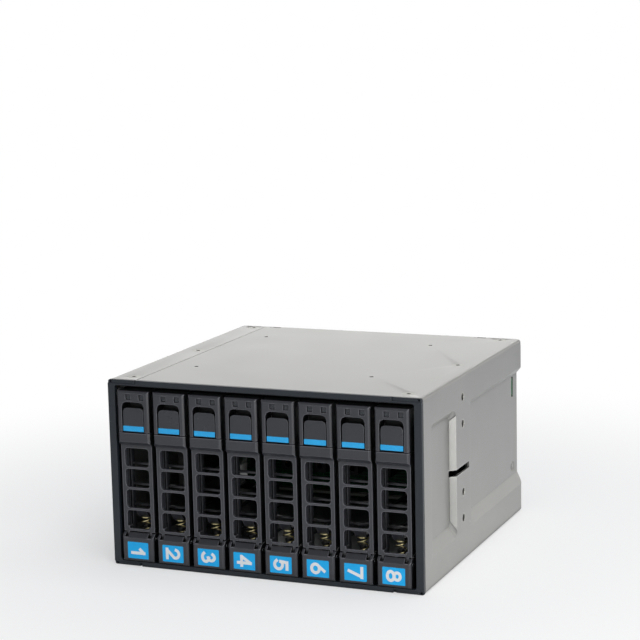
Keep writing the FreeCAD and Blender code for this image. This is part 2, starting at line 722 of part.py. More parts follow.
def bracket():
    """Folded bracket under the top sheet: foot for the rear cover screws, leg with standoffs."""
    reach = HALF_WIDTH - REAR_LIP
    step = SEAM_X - 2 * SHEET
    rear = BRACKET_Y + SHEET
    front = BRACKET_Y - BRACKET_REACH
    foot = box(-step, reach, front, rear, INNER_TOP - SHEET, INNER_TOP)
    low_foot = box(-reach, -step + SHEET, front, rear, INNER_TOP - 2 * SHEET, INNER_TOP - SHEET)
    leg = box(-reach, reach, BRACKET_Y, rear, CAGE_HEIGHT - BRACKET_HEIGHT, INNER_TOP - SHEET)
    pieces = [low_foot, leg]
    for x in bracket_tab_sites():
        half = BRACKET_TAB_WIDTH / 2
        pieces.append(box(x - half, x + half, BRACKET_Y, rear, INNER_TOP - SHEET, CAGE_HEIGHT - 0.2))
    z = CAGE_HEIGHT - STANDOFF_Z
    bores = []
    for x in standoff_xs():
        face = Vec(x, BOARD_REAR, z)
        pieces.append(peg(face, Vec(x, BRACKET_Y, z), STANDOFF_RADIUS, 6))
        bores.append(peg(face - Vec(0, 1, 0), Vec(x, BRACKET_Y - 0.5, z), BOARD_SCREW_HOLE, SMALL_SIDES))
    return carve(join(foot, *pieces), *bores)


def backplane_brackets():
    halves = [carve(half, *screw_holes()) for half in (bracket(), turned(bracket()))]
    return Part.makeCompound(halves)


def port(x, size, wall, depth):
    """Open connector shell standing on the back of the board."""
    half = size[0] / 2
    low = PORT_Z - size[2] / 2
    high = PORT_Z + size[2] / 2
    end = BOARD_REAR + size[1]
    body = box(x - half, x + half, BOARD_REAR, end, low, high)
    mouth = box(x - half + wall, x + half - wall, end - depth, end + 1, low + wall, high - wall)
    return carve(body, mouth), end - depth


def data_connectors():
    ports = []
    for x in (DATA_IN - HALF_WIDTH, HALF_WIDTH - DATA_IN):
        body, floor = port(x, DATA_SIZE, DATA_WALL, DATA_DEPTH)
        tongue = box(x - 4.0, x + 4.0, floor - 0.5, floor + 7.5, PORT_Z - 0.6, PORT_Z + 0.6)
        ports.append(join(body, tongue))
    return Part.makeCompound(ports)


def power_connectors():
    ports = []
    for x in (POWER_IN - HALF_WIDTH, HALF_WIDTH - POWER_IN):
        body, floor = port(x, POWER_SIZE, POWER_WALL, POWER_DEPTH)
        starts = [x + (n - 1.5) * POWER_PIN_PITCH for n in range(4)]
        pins = [box(a - 0.8, a + 0.8, floor - 0.5, floor + 7, PORT_Z - 0.8, PORT_Z + 0.8) for a in starts]
        ports.append(join(body, *pins))
    return Part.makeCompound(ports)


# ---------------------------------------------------------------- trays
def chamfered_block(z0, z1, depth, top_edge):
    """Front block of a tray with chamfered side edges and, where asked, a chamfered top edge."""
    c = EDGE_CHAMFER
    plan = [
        (-HALF_TRAY + c, FACE_Y),
        (HALF_TRAY - c, FACE_Y),
        (HALF_TRAY, FACE_Y + c),
        (HALF_TRAY, depth),
        (-HALF_TRAY, depth),
        (-HALF_TRAY, FACE_Y + c),
    ]
    face = Part.Face(outline(plan, lambda x, y: Vec(x, y, z0)))
    block = face.extrude(Vec(0, 0, z1 - z0))
    side = [(FACE_Y, z0), (FACE_Y, z1 - top_edge), (FACE_Y + top_edge, z1), (depth, z1), (depth, z0)]
    return block.common(prism_x(side, -HALF_TRAY, HALF_TRAY))


def tray_head():
    block = chamfered_block(HEAD_BOTTOM, TRAY_TOP, HEAD_DEPTH, EDGE_CHAMFER)
    half = BUTTON_WIDTH / 2 + RUN_GAP
    button_back = FACE_Y + BUTTON_SET_BACK + BUTTON_THICK
    well_top = BUTTON_TOP + BUTTON_TRAVEL + RUN_GAP
    well = prism_y(
        [
            (-half, HEAD_BOTTOM - 1),
            (half, HEAD_BOTTOM - 1),
            (half, well_top, BUTTON_RADIUS + RUN_GAP),
            (-half, well_top, BUTTON_RADIUS + RUN_GAP),
        ],
        FACE_Y - 1,
        button_back + RUN_GAP,
    )
    thumb_pocket = prism_y(
        [
            (-half, BUTTON_TOP - THUMB_POCKET_DROP),
            (half, BUTTON_TOP - THUMB_POCKET_DROP),
            (half, well_top, BUTTON_RADIUS + RUN_GAP),
            (-half, well_top, BUTTON_RADIUS + RUN_GAP),
        ],
        FACE_Y,
        FACE_Y + THUMB_POCKET_DEPTH,
    )
    floor_back = button_back + RUN_GAP + HEAD_WALL
    room = KEEPER_WIDTH / 2 + 2 * RUN_GAP
    hollow = box(
        -room, room, floor_back, HEAD_DEPTH + 1,
        STEM_BOTTOM - 2 * RUN_GAP, STEM_TOP + BUTTON_TRAVEL + 2 * RUN_GAP,
    )
    stem_half = STEM_WIDTH / 2 + RUN_GAP
    stem_slot = box(
        -stem_half, stem_half, FACE_Y, floor_back + 1,
        STEM_BOTTOM - RUN_GAP, STEM_TOP + BUTTON_TRAVEL + RUN_GAP,
    )
    return carve(block, well, thumb_pocket, hollow, stem_slot)


def tray_rails():
    """Upper and lower rails; the drive is screwed to the lower one."""
    half = RAIL_WIDTH / 2
    high = box(-half, half, HEAD_DEPTH - 1, RAIL_REAR, HIGH_RAIL_BOTTOM, HIGH_RAIL_TOP)
    low = box(-half, half, LABEL_BLOCK_DEPTH - 1, RAIL_REAR, LOW_RAIL_BOTTOM, LOW_RAIL_TOP)
    holes = []
    for back in DRIVE_HOLE_BACK:
        spot = Vec(DRIVE_HOLE_X, DRIVE_REAR - back, 0)
        holes.append(rod(spot, spot + Vec(0, 0, CAGE_HEIGHT), DRIVE_HOLE_RADIUS))
    tools = []
    for side in (-1, 1):
        lead = [
            Vec(side * half, RAIL_REAR - RAIL_LEAD, 0),
            Vec(side * (half - RAIL_LEAD / 2), RAIL_REAR, 0),
            Vec(side * half, RAIL_REAR, 0),
        ]
        tools.append(flat(lead).extrude(Vec(0, 0, CAGE_HEIGHT)))
    return [carve(high, *tools), carve(low, *tools, *holes)]


def label_block():
    """Fixed foot of the tray: label panel, slope up to the grille, and cheeks that hold the pin."""
    c = EDGE_CHAMFER
    top = LABEL_BLOCK_TOP + LABEL_BLOCK_RISE
    block = chamfered_block(TRAY_BOTTOM, top, LABEL_BLOCK_DEPTH, 0)
    cheek_back = HINGE_Y + EAR_RADIUS + CHEEK_BACK
    above = prism_x(
        [
            (FACE_Y - 1, LABEL_BLOCK_TOP),
            (FACE_Y, LABEL_BLOCK_TOP),
            (GRILLE_Y, top),
            (cheek_back, top, 1.0),
            (cheek_back, LOW_RAIL_TOP + 2.4, 1.0),
            (LABEL_BLOCK_DEPTH + 1, LOW_RAIL_TOP + 0.9),
            (LABEL_BLOCK_DEPTH + 1, CAGE_HEIGHT),
            (FACE_Y - 1, CAGE_HEIGHT),
        ],
        -HALF_TRAY - 1,
        HALF_TRAY + 1,
    )
    inner = HALF_TRAY - CHEEK_THICK
    run = GRILLE_Y - FACE_Y
    length = math.hypot(run, LABEL_BLOCK_RISE)
    under_y = GRILLE_Y + SLOPE_WALL * LABEL_BLOCK_RISE / length
    under_z = top - SLOPE_WALL * run / length
    wall_y = FACE_Y + LABEL_BLOCK_WALL
    hollow = prism_x(
        [
            (wall_y, LOW_RAIL_TOP),
            (wall_y, under_z - (under_y - wall_y) * LABEL_BLOCK_RISE / run),
            (under_y, under_z),
            (under_y, top + 1),
            (LABEL_BLOCK_DEPTH + 1, top + 1),
            (LABEL_BLOCK_DEPTH + 1, LOW_RAIL_TOP),
        ],
        -inner,
        inner,
    )
    ear_slots = []
    for side in (-1, 1):
        x0, x1 = sorted((side * inner, side * (inner - EAR_THICK - 2 * RUN_GAP)))
        ear_slots.append(prism_x(
            [
                (FACE_Y + EAR_SLOT_LIP, LABEL_BLOCK_TOP),
                (FACE_Y + EAR_SLOT_LIP, top + 1),
                (under_y + 1, top + 1),
                (under_y + 1, HINGE_Z),
                (wall_y, HINGE_Z - EAR_SLOT_LIP),
            ],
            x0,
            x1,
        ))
    label = box(
        -LABEL_WIDTH / 2, LABEL_WIDTH / 2, FACE_Y - 1, FACE_Y + LABEL_RECESS,
        LABEL_BOTTOM, LABEL_TOP,
    )
    left, right = Vec(-HALF_TRAY - 1, HINGE_Y, HINGE_Z), Vec(HALF_TRAY + 1, HINGE_Y, HINGE_Z)
    bore = peg(left, right, HINGE_PIN_RADIUS + PIN_SEAT_CLEARANCE, SMALL_SIDES)
    lower_edge = prism_x(
        [
            (FACE_Y - 1, TRAY_BOTTOM - 1),
            (FACE_Y + c, TRAY_BOTTOM - 1),
            (FACE_Y + c, TRAY_BOTTOM),
            (FACE_Y, TRAY_BOTTOM + c),
            (FACE_Y - 1, TRAY_BOTTOM + c),
        ],
        -HALF_TRAY - 1,
        HALF_TRAY + 1,
    )
    return carve(block, above, hollow, *ear_slots, label, bore, lower_edge)


def spine():
    """Lattice behind the lever: two uprights and the bars seen through the lever's windows."""
    half = RAIL_WIDTH / 2
    y0 = LEVER_DEPTH + SPINE_GAP
    y1 = y0 + SPINE_DEPTH
    low = LOW_RAIL_TOP - 0.5
    high = HIGH_RAIL_BOTTOM + 0.5
    inner = half - HEAD_WALL
    uprights = [box(-half, -inner, y0, y1, low, high), box(inner, half, y0, y1, low, high)]
    bars = []
    for n in range(WINDOW_COUNT):
        z = WINDOW_TOP - n * WINDOW_PITCH
        bars.append(box(-half, half, y1 - SPINE_BAR_DEPTH, y1, z, z + WINDOW_BAR))
    return uprights + bars


def tray_carrier():
    base = Vec(SPRING_X, SPRING_Y, LOW_RAIL_TOP - 1)
    post = peg(base, Vec(SPRING_X, SPRING_Y, SPRING_TOP - POST_SHORT), POST_RADIUS, SMALL_SIDES)
    seat = peg(base, Vec(SPRING_X, SPRING_Y, SPRING_BOTTOM), SPRING_RADIUS + SEAT_RIM, SMALL_SIDES)
    body = join(tray_head(), label_block(), *tray_rails(), *spine(), seat, post)
    tools = []
    for x in PIPE_X:
        lens = PIPE_LENS / 2 + 0.05
        groove = PIPE_SIZE / 2 + 0.1
        tools.append(box(x - lens, x + lens, FACE_Y - 1, FACE_Y + 3, PIPE_Z - lens, PIPE_Z + lens))
        tools.append(box(x - groove, x + groove, FACE_Y + 2, RAIL_REAR + 1, PIPE_Z - groove, PIPE_Z + groove))
        tools.append(box(x - groove, x + groove, HEAD_DEPTH, RAIL_REAR + 1, PIPE_Z, TRAY_TOP + 1))
    return carve(body, *tools)


def light_pipes():
    pipes = []
    for x in PIPE_X:
        lens = PIPE_LENS / 2
        run = PIPE_SIZE / 2
        head = box(x - lens, x + lens, FACE_Y + LENS_RECESS, FACE_Y + 2.9, PIPE_Z - lens, PIPE_Z + lens)
        light_run = box(x - run, x + run, FACE_Y + 2.9, RAIL_REAR, PIPE_Z - run, PIPE_Z + run)
        pipes.append(join(head, light_run))
    return Part.makeCompound(pipes)


def latch_button():
    half = BUTTON_WIDTH / 2
    front = FACE_Y + BUTTON_SET_BACK
    back = front + BUTTON_THICK
    face = prism_y(
        [
            (-half, BUTTON_BOTTOM),
            (half, BUTTON_BOTTOM),
            (half, BUTTON_TOP, BUTTON_RADIUS),
            (-half, BUTTON_TOP, BUTTON_RADIUS),
        ],
        front,
        back,
    )
    stem_end = back + HEAD_WALL + 2 * RUN_GAP
    keeper_end = stem_end + KEEPER_THICK
    stem = box(-STEM_WIDTH / 2, STEM_WIDTH / 2, back, keeper_end, STEM_BOTTOM, STEM_TOP)
    keeper = box(-KEEPER_WIDTH / 2, KEEPER_WIDTH / 2, stem_end, keeper_end, STEM_BOTTOM, STEM_TOP)
    return join(face, stem, keeper)


def lever():
    """Hinged grille: proud band, bevel, four windows, side walls, hinge ears and spring heel."""
    half = GRILLE_WIDTH / 2
    c = EDGE_CHAMFER
    back = GRILLE_Y + GRILLE_THICK
    side = [
        (FACE_Y, LEVER_TOP),
        (FACE_Y, BAND_BOTTOM),
        (GRILLE_Y, GRILLE_TOP),
        (GRILLE_Y, GRILLE_BOTTOM),
        (back, GRILLE_BOTTOM),
        (back, LEVER_TOP),
    ]
    wide = prism_x(side, -HALF_TRAY, HALF_TRAY)
    plan = Part.Face(outline(
        [
            (-HALF_TRAY + c, FACE_Y),
            (HALF_TRAY - c, FACE_Y),
            (HALF_TRAY, FACE_Y + c),
            (HALF_TRAY, LEVER_DEPTH),
            (-HALF_TRAY, LEVER_DEPTH),
            (-HALF_TRAY, FACE_Y + c),
        ],
        lambda x, y: Vec(x, y, GRILLE_BOTTOM),
    )).extrude(Vec(0, 0, LEVER_TOP - GRILLE_BOTTOM))
    plate = wide.common(plan)
    trims = []
    for side_sign in (-1, 1):
        x0, x1 = sorted((side_sign * half, side_sign * (HALF_TRAY + 1)))
        trims.append(box(x0, x1, GRILLE_Y - 2, LEVER_DEPTH + 1, GRILLE_BOTTOM - 1, GRILLE_TOP))
    walls = [
        box(-half, -half + LEVER_WALL, GRILLE_Y + 0.5, LEVER_DEPTH, GRILLE_BOTTOM + 0.6, LEVER_TOP),
        box(half - LEVER_WALL, half, GRILLE_Y + 0.5, LEVER_DEPTH, GRILLE_BOTTOM + 0.6, LEVER_TOP),
    ]
    ear_out = HALF_TRAY - CHEEK_THICK - RUN_GAP
    ears = []
    for side_sign in (-1, 1):
        x0, x1 = sorted((side_sign * ear_out, side_sign * (ear_out - EAR_THICK)))
        ears.append(peg(Vec(x0, HINGE_Y, HINGE_Z), Vec(x1, HINGE_Y, HINGE_Z), EAR_RADIUS, SMALL_SIDES))
        root = GRILLE_BOTTOM + 2 * LEVER_WALL
        ears.append(box(x0, x1, GRILLE_Y, HINGE_Y + EAR_RADIUS, HINGE_Z, root))
    heel_low = SPRING_TOP + SPRING_END_GAP
    heel_back = SPRING_Y + SPRING_RADIUS
    bar_low = WINDOW_TOP - (WINDOW_COUNT - 1) * WINDOW_PITCH
    bar_high = bar_low + WINDOW_BAR
    heel = prism_x(
        [
            (back - 0.5, bar_low),
            (back, bar_low),
            (SPRING_Y - SPRING_RADIUS, heel_low),
            (heel_back, heel_low),
            (heel_back, heel_low + HEEL_THICK),
            (SPRING_Y - SPRING_RADIUS + 0.5, heel_low + HEEL_THICK),
            (back, bar_high),
            (back - 0.5, bar_high),
        ],
        SPRING_X - HEEL_WIDTH / 2,
        SPRING_X + HEEL_WIDTH / 2,
    )
    windows = []
    for n in range(WINDOW_COUNT):
        high = WINDOW_TOP - n * WINDOW_PITCH
        windows.append(prism_y(
            rounded(-WINDOW_WIDTH / 2, WINDOW_WIDTH / 2, high - WINDOW_HEIGHT, high, WINDOW_RADIUS),
            GRILLE_Y - 1,
            back + 0.01,
        ))
    left, right = Vec(-HALF_TRAY, HINGE_Y, HINGE_Z), Vec(HALF_TRAY, HINGE_Y, HINGE_Z)
    bore = peg(left, right, HINGE_PIN_RADIUS + HINGE_CLEARANCE, SMALL_SIDES)
    plate = carve(plate, *trims, *windows)
    return carve(join(plate, *walls, *ears, heel), bore)


def hinge_pin():
    left, right = Vec(-HALF_TRAY, HINGE_Y, HINGE_Z), Vec(HALF_TRAY, HINGE_Y, HINGE_Z)
    return peg(left, right, HINGE_PIN_RADIUS, SMALL_SIDES)


def coil_ring(k):
    """Corners of the wire's section at joint k of the coil."""
    wire = SPRING_WIRE / 2
    mitre = math.cos(math.pi / COIL_RUNS)
    middle = 2 * SPRING_RADIUS / (1 + mitre)
    turn = 2 * math.pi * k / COIL_RUNS
    climb = SPRING_TOP - SPRING_BOTTOM - SPRING_WIRE - SPRING_END_GAP
    z = SPRING_BOTTOM + SPRING_END_GAP + wire + climb * k / (SPRING_TURNS * COIL_RUNS)
    corners = []
    for out, up in ((1, -1), (1, 1), (-1, 1), (-1, -1)):
        reach = middle + out * wire / mitre
        x, y = reach * math.cos(turn), reach * math.sin(turn)
        corners.append(Vec(SPRING_X + x, SPRING_Y + y, z + up * wire))
    return corners


def kick_spring():
    """Coil of straight runs, standing on its seat round the post and ending under the heel."""
    rings = [coil_ring(k) for k in range(SPRING_TURNS * COIL_RUNS + 1)]
    faces = [flat(rings[0]), flat(rings[-1])]
    for here, following in zip(rings, rings[1:]):
        for a in range(4):
            b = (a + 1) % 4
            faces.append(flat([here[a], here[b], following[b]]))
            faces.append(flat([here[a], following[b], following[a]]))
    solid = Part.Solid(Part.Shell(faces))
    if solid.Volume < 0:
        solid.reverse()
    return solid


# ---------------------------------------------------------------- build
os.makedirs("parts", exist_ok=True)

CAGE_NODES = {
    "upper_shell": upper_shell,
    "lower_shell": lower_shell,
    "front_frame": front_frame,
    "upper_guide": upper_guide,
    "lower_guide": lower_guide,
    "backplane": backplane,
    "backplane_brackets": backplane_brackets,
    "board_screws": board_screws,
    "drive_sockets": drive_sockets,
    "data_connectors": data_connectors,
    "power_connectors": power_connectors,
    "cover_screws": cover_screws,
}
TRAY_NODES = {
    "carrier": tray_carrier,
    "lever": lever,
    "latch_button": latch_button,
    "hinge_pin": hinge_pin,
    "kick_spring": kick_spring,
    "light_pipes": light_pipes,
}

for name, make in CAGE_NODES.items():
    export(name, make())

for name, make in TRAY_NODES.items():
    piece = make()
    for i in range(TRAY_COUNT):
        placed = piece.copy()
        placed.translate(Vec(tray_x(i), 0, 0))
        export("tray_%d_%s" % (i + 1, name), placed)
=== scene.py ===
# %% [markdown]
# A steel cage holds eight hot swap trays for small drives. The engineering model already has every
# plate, tray, lever and pin in place, so this script only dresses it: finishes for each material,
# slightly rounded edges, and the small things that are easier to make here than in solids, such as
# labels, coil springs, screw recesses and the parts on the circuit board.

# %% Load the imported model
import json
import math

import bmesh
import bpy
from mathutils import Matrix, Vector

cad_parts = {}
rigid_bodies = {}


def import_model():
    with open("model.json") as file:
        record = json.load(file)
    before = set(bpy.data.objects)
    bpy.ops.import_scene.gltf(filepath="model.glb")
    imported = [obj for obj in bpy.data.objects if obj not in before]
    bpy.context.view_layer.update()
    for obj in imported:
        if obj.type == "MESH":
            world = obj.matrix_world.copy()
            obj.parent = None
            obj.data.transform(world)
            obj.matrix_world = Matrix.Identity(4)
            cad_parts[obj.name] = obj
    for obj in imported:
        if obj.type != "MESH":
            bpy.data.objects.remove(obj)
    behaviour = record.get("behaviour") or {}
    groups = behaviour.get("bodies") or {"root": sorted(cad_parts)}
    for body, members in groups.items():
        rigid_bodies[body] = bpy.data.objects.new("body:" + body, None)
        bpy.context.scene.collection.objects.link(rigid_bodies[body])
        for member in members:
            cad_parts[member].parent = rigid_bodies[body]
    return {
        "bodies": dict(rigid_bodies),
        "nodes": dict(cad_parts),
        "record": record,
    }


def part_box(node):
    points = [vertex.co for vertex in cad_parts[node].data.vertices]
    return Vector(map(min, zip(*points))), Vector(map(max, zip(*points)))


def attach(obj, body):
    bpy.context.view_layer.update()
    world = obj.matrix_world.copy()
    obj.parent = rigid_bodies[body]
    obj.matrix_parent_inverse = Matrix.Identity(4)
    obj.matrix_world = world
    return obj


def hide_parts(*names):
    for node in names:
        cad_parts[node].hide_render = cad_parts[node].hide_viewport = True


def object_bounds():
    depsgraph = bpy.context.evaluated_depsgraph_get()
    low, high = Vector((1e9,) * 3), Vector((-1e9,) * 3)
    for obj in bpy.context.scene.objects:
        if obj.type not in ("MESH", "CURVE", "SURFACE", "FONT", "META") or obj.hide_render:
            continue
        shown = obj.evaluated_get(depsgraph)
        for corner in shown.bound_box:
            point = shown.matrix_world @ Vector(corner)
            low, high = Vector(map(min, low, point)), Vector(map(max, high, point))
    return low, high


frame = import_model()
bpy.context.view_layer.update()
cad_low, cad_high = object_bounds()
nodes = frame["nodes"]
trays = sorted(name for name in frame["bodies"]
               if name.startswith("tray_") and name.count("_") == 1)
mm = 0.001
print("model box in mm:", [round(v / mm, 1) for v in cad_high - cad_low], "trays:", len(trays))

# %% [markdown]
# Colours are noted as sRGB hex values, the numbers that a colour picker shows. Shader sockets want
# linear light, so one function converts them. A second function adds a shader node with its settings
# and links, which keeps each material readable as a short list from the first texture to the surface.
# A third paints shade into a colour: it darkens the colour in narrow gaps with an ambient occlusion
# node, which draws a seam or the foot of a rib as a thin dark line. The same node, looking into the
# material, finds the outer edges, and a fourth function pales those with a painted highlight.

# %% Colour and node helpers
def linear(hex_colour):
    """sRGB hex to the linear colour that a shader socket takes."""
    parts = [int(hex_colour[k:k + 2], 16) / 255 for k in (1, 3, 5)]
    return [c / 12.92 if c <= 0.04045 else ((c + 0.055) / 1.055) ** 2.4 for c in parts] + [1.0]


def node(tree, kind, settings=None, links=None):
    """Adds one node. A setting names a property or an input; a link maps an input to an output."""
    made = tree.nodes.new(kind)
    for name, value in (settings or {}).items():
        if isinstance(name, str) and hasattr(made, name):
            setattr(made, name, value)
        else:
            made.inputs[name].default_value = value
    for name, output in (links or {}).items():
        tree.links.new(output, made.inputs[name])
    return made


def new_material(name):
    """An empty node tree with an output, and the object's own coordinates in metres."""
    material = bpy.data.materials.new(name)
    material.use_nodes = True
    tree = material.node_tree
    tree.nodes.clear()
    place = node(tree, "ShaderNodeTexCoord").outputs["Object"]
    output = node(tree, "ShaderNodeOutputMaterial")
    return material, tree, place, output


AO_SAMPLES = 6
DEEP_GAP, OPEN_FACE = 0.35, 0.95  # openness of a gap's foot and of a face that stands free
FLAT_FACE = 0.98  # openness of a flat face, looking into the material
GAP_LEFT = 0.08  # share of its colour that the foot of a gap keeps
HIGHLIGHT_REACH = 0.4 * mm  # how far in from an edge the painted highlight goes


def painted_gap_shade(tree, colour, reach):
    """The colour with painted shade: darkened where other surfaces stand closer than reach."""
    near = node(tree, "ShaderNodeAmbientOcclusion", {"samples": AO_SAMPLES, "Distance": reach})
    shade = node(tree, "ShaderNodeMapRange",
                 {"From Min": DEEP_GAP, "From Max": OPEN_FACE, "To Min": GAP_LEFT, "To Max": 1.0},
                 {"Value": near.outputs["AO"]})
    return node(tree, "ShaderNodeVectorMath", {"operation": "SCALE"},
                {0: colour, "Scale": shade.outputs[0]}).outputs[0]


def painted_edge_highlight(tree, colour, pale, share, strongest):
    """The colour with a painted highlight: mixed with a paler one along edges. The share is
    reached where the openness, looking into the material, is down to strongest: 0.5 is a square
    edge, 0.8 a shallow fold."""
    inside = node(tree, "ShaderNodeAmbientOcclusion",
                  {"samples": AO_SAMPLES, "Distance": HIGHLIGHT_REACH, "inside": True})
    edge = node(tree, "ShaderNodeMapRange",
                {"From Min": strongest, "From Max": FLAT_FACE, "To Min": share, "To Max": 0.0},
                {"Value": inside.outputs["AO"]})
    return node(tree, "ShaderNodeMix", {"data_type": "RGBA", 7: linear(pale)},
                {0: edge.outputs[0], 6: colour}).outputs[2]


print("white in linear light:", linear("#FFFFFF"))

# %% [markdown]
# Moulded plastic is never one flat colour: the mould is spark-eroded, which leaves a fine even grain,
# and the pigment and the gloss drift a little over a part. Grain could be painted as an image, but a
# noise texture in object coordinates needs no unwrapping and has its size in real millimetres. Two
# noises do it: a fine one for the grain in the bump, and a broad one for drift in tone and gloss.
# Trays and buttons get a painted highlight, a paler colour along their edges, so their share of it is
# above zero. Every moulding also gets painted shade where other surfaces stand near.

# %% Moulded plastics
# Paler colour of the painted highlight along the plastic's edges.
PLASTIC_HIGHLIGHT = "#B4B4BC"
PLASTIC_GAP = 8 * mm  # how near a neighbour has to stand to darken the plastic


def moulded(name, shade, light_shade, roughness, grain, depth, highlight_share=0.0):
    """Injection-moulded plastic with an eroded grain of that size; depth is the grain's height."""
    material, tree, place, output = new_material(name)
    drift = node(tree, "ShaderNodeTexNoise", {"Scale": 1 / (14 * mm), "Detail": 3.0}, {"Vector": place})
    tone = node(tree, "ShaderNodeMix", {"data_type": "RGBA", 6: linear(shade), 7: linear(light_shade)},
                {0: drift.outputs["Fac"]})
    gloss = node(tree, "ShaderNodeMapRange", {"To Min": roughness - 0.05, "To Max": roughness + 0.05},
                 {"Value": drift.outputs["Fac"]})
    skin = node(tree, "ShaderNodeTexNoise", {"Scale": 1 / grain, "Detail": 2.0}, {"Vector": place})
    bump = node(tree, "ShaderNodeBump", {"Strength": 0.5, "Distance": depth},
                {"Height": skin.outputs["Fac"]})
    highlit_tone = tone.outputs[2]
    # Painted highlight: a paler colour along the edges.
    if highlight_share:
        highlit_tone = painted_edge_highlight(tree, highlit_tone, PLASTIC_HIGHLIGHT, highlight_share, 0.5)
    # Painted shade where other surfaces stand near.
    colour = painted_gap_shade(tree, highlit_tone, PLASTIC_GAP)
    surface = node(tree, "ShaderNodeBsdfPrincipled", {"IOR": 1.53},
                   {"Base Color": colour, "Roughness": gloss.outputs[0], "Normal": bump.outputs[0]})
    tree.links.new(surface.outputs[0], output.inputs["Surface"])
    return material


# ABS, eroded mould: charcoal with a soft sheen that draws a pale line along every chamfer,
# and a painted highlight that pales its edges.
tray_abs = moulded("charcoal_moulded_abs", "#303135", "#3B3C41", 0.3, 0.35 * mm, 0.02 * mm, 0.4)
# The same plastic from a mould that is polished a little finer: it reads smoother and a shade darker.
button_abs = moulded("button_moulded_abs", "#2C2E32", "#36383C", 0.26, 0.3 * mm, 0.015 * mm, 0.4)
# Black nylon guides: duller, as nylon shrinks away from the mould.
guide_nylon = moulded("black_moulded_nylon", "#161D28", "#202A38", 0.5, 0.5 * mm, 0.03 * mm)
# Glass-filled polyester of the drive sockets: black, with faint grey glass fibre at the skin.
socket_polyester = moulded("glass_filled_polyester", "#101112", "#1B1C1E", 0.42, 0.4 * mm, 0.02 * mm)
# Natural nylon of the power sockets: milky, warm white.
natural_nylon = moulded("natural_nylon", "#DAD6C8", "#E8E4D8", 0.4, 0.6 * mm, 0.02 * mm)
# Epoxy of the chips: dull black with a sandy grain.
chip_epoxy = moulded("black_chip_epoxy", "#151515", "#202021", 0.6, 0.2 * mm, 0.02 * mm)
print("plastics:", [m.name for m in bpy.data.materials if "abs" in m.name or "nylon" in m.name])

# %% [markdown]
# The box is electro-galvanised sheet: cold-rolled steel with a thin zinc plating. Rolling leaves very
# fine lines along the sheet, and the plating makes them matt, so it shines softly and evenly, with a
# faint cloudiness where it has been handled. The lines are a noise stretched along one direction and
# the zinc's grain is an even one: both are hundredths of a millimetre in reality, drawn at 0.25 and
# 0.55 mm so that they still show. Zinc dulls in air, so the sheet isn't quite a pure metal mirror.
# Along folds and cut edges a painted highlight pales the colour, and painted shade darkens seams
# between two sheets and other narrow gaps.

# %% Metals
LINE_WIDTH, LINE_LENGTH = 0.25 * mm, 9 * mm
# Paler colour of the painted highlight along folds and cut edges.
ZINC_HIGHLIGHT = "#F4F4F0"
SHEET_GAP = 2.5 * mm  # how near a neighbour has to stand to darken the sheet


def rolled_sheet(name, shade, light_shade, roughness):
    """Zinc-coated sheet with rolling lines along Y, an even grain and a faint cloudiness."""
    material, tree, place, output = new_material(name)
    stretched = node(tree, "ShaderNodeMapping",
                     {"Scale": (1 / LINE_WIDTH, 1 / LINE_LENGTH, 1 / LINE_WIDTH)}, {"Vector": place})
    lines = node(tree, "ShaderNodeTexNoise", {"Scale": 1.0, "Detail": 4.0},
                 {"Vector": stretched.outputs[0]})
    grain = node(tree, "ShaderNodeTexNoise", {"Scale": 1 / (0.55 * mm), "Detail": 3.0},
                 {"Vector": place})
    cloud = node(tree, "ShaderNodeTexNoise", {"Scale": 1 / (22 * mm), "Detail": 5.0}, {"Vector": place})
    fine = node(tree, "ShaderNodeMix", {"data_type": "FLOAT", 0: 0.5},
                {2: lines.outputs["Fac"], 3: grain.outputs["Fac"]})
    both = node(tree, "ShaderNodeMix", {"data_type": "FLOAT", 0: 0.45},
                {2: fine.outputs[0], 3: cloud.outputs["Fac"]})
    tone = node(tree, "ShaderNodeMix", {"data_type": "RGBA", 6: linear(shade), 7: linear(light_shade)},
                {0: both.outputs[0]})
    gloss = node(tree, "ShaderNodeMapRange", {"To Min": roughness - 0.07, "To Max": roughness + 0.07},
                 {"Value": both.outputs[0]})
    bump = node(tree, "ShaderNodeBump", {"Strength": 0.35, "Distance": 0.02 * mm},
                {"Height": fine.outputs[0]})
    # Painted highlight: a paler colour along folds and cut edges.
    highlit_tone = painted_edge_highlight(tree, tone.outputs[2], ZINC_HIGHLIGHT, 0.3, 0.8)
    # Painted shade in seams, pockets and other narrow gaps.
    colour = painted_gap_shade(tree, highlit_tone, SHEET_GAP)
    surface = node(tree, "ShaderNodeBsdfPrincipled", {"Metallic": 0.85},
                   {"Base Color": colour, "Roughness": gloss.outputs[0], "Normal": bump.outputs[0]})
    tree.links.new(surface.outputs[0], output.inputs["Surface"])
    return material


def plated(name, shade, light_shade, roughness, fleck):
    """Small metal part; the fleck is the size of its barrel-plating mottle."""
    material, tree, place, output = new_material(name)
    mottle = node(tree, "ShaderNodeTexNoise", {"Scale": 1 / fleck, "Detail": 3.0}, {"Vector": place})
    tone = node(tree, "ShaderNodeMix", {"data_type": "RGBA", 6: linear(shade), 7: linear(light_shade)},
                {0: mottle.outputs["Fac"]})
    gloss = node(tree, "ShaderNodeMapRange", {"To Min": roughness - 0.06, "To Max": roughness + 0.06},
                 {"Value": mottle.outputs["Fac"]})
    surface = node(tree, "ShaderNodeBsdfPrincipled", {"Metallic": 1.0},
                   {"Base Color": tone.outputs[2], "Roughness": gloss.outputs[0]})
    tree.links.new(surface.outputs[0], output.inputs["Surface"])
    return material


# Electro-galvanised steel, rolled and folded: a pale warm grey satin.
sheet_steel = rolled_sheet("electro_galvanised_sheet", "#9B9A97", "#BEBDB9", 0.33)
# Nickel-plated steel screws: brighter and yellower than the sheet.
screw_nickel = plated("nickel_plated_steel", "#B4B3AC", "#CCCBC4", 0.36, 0.8 * mm)
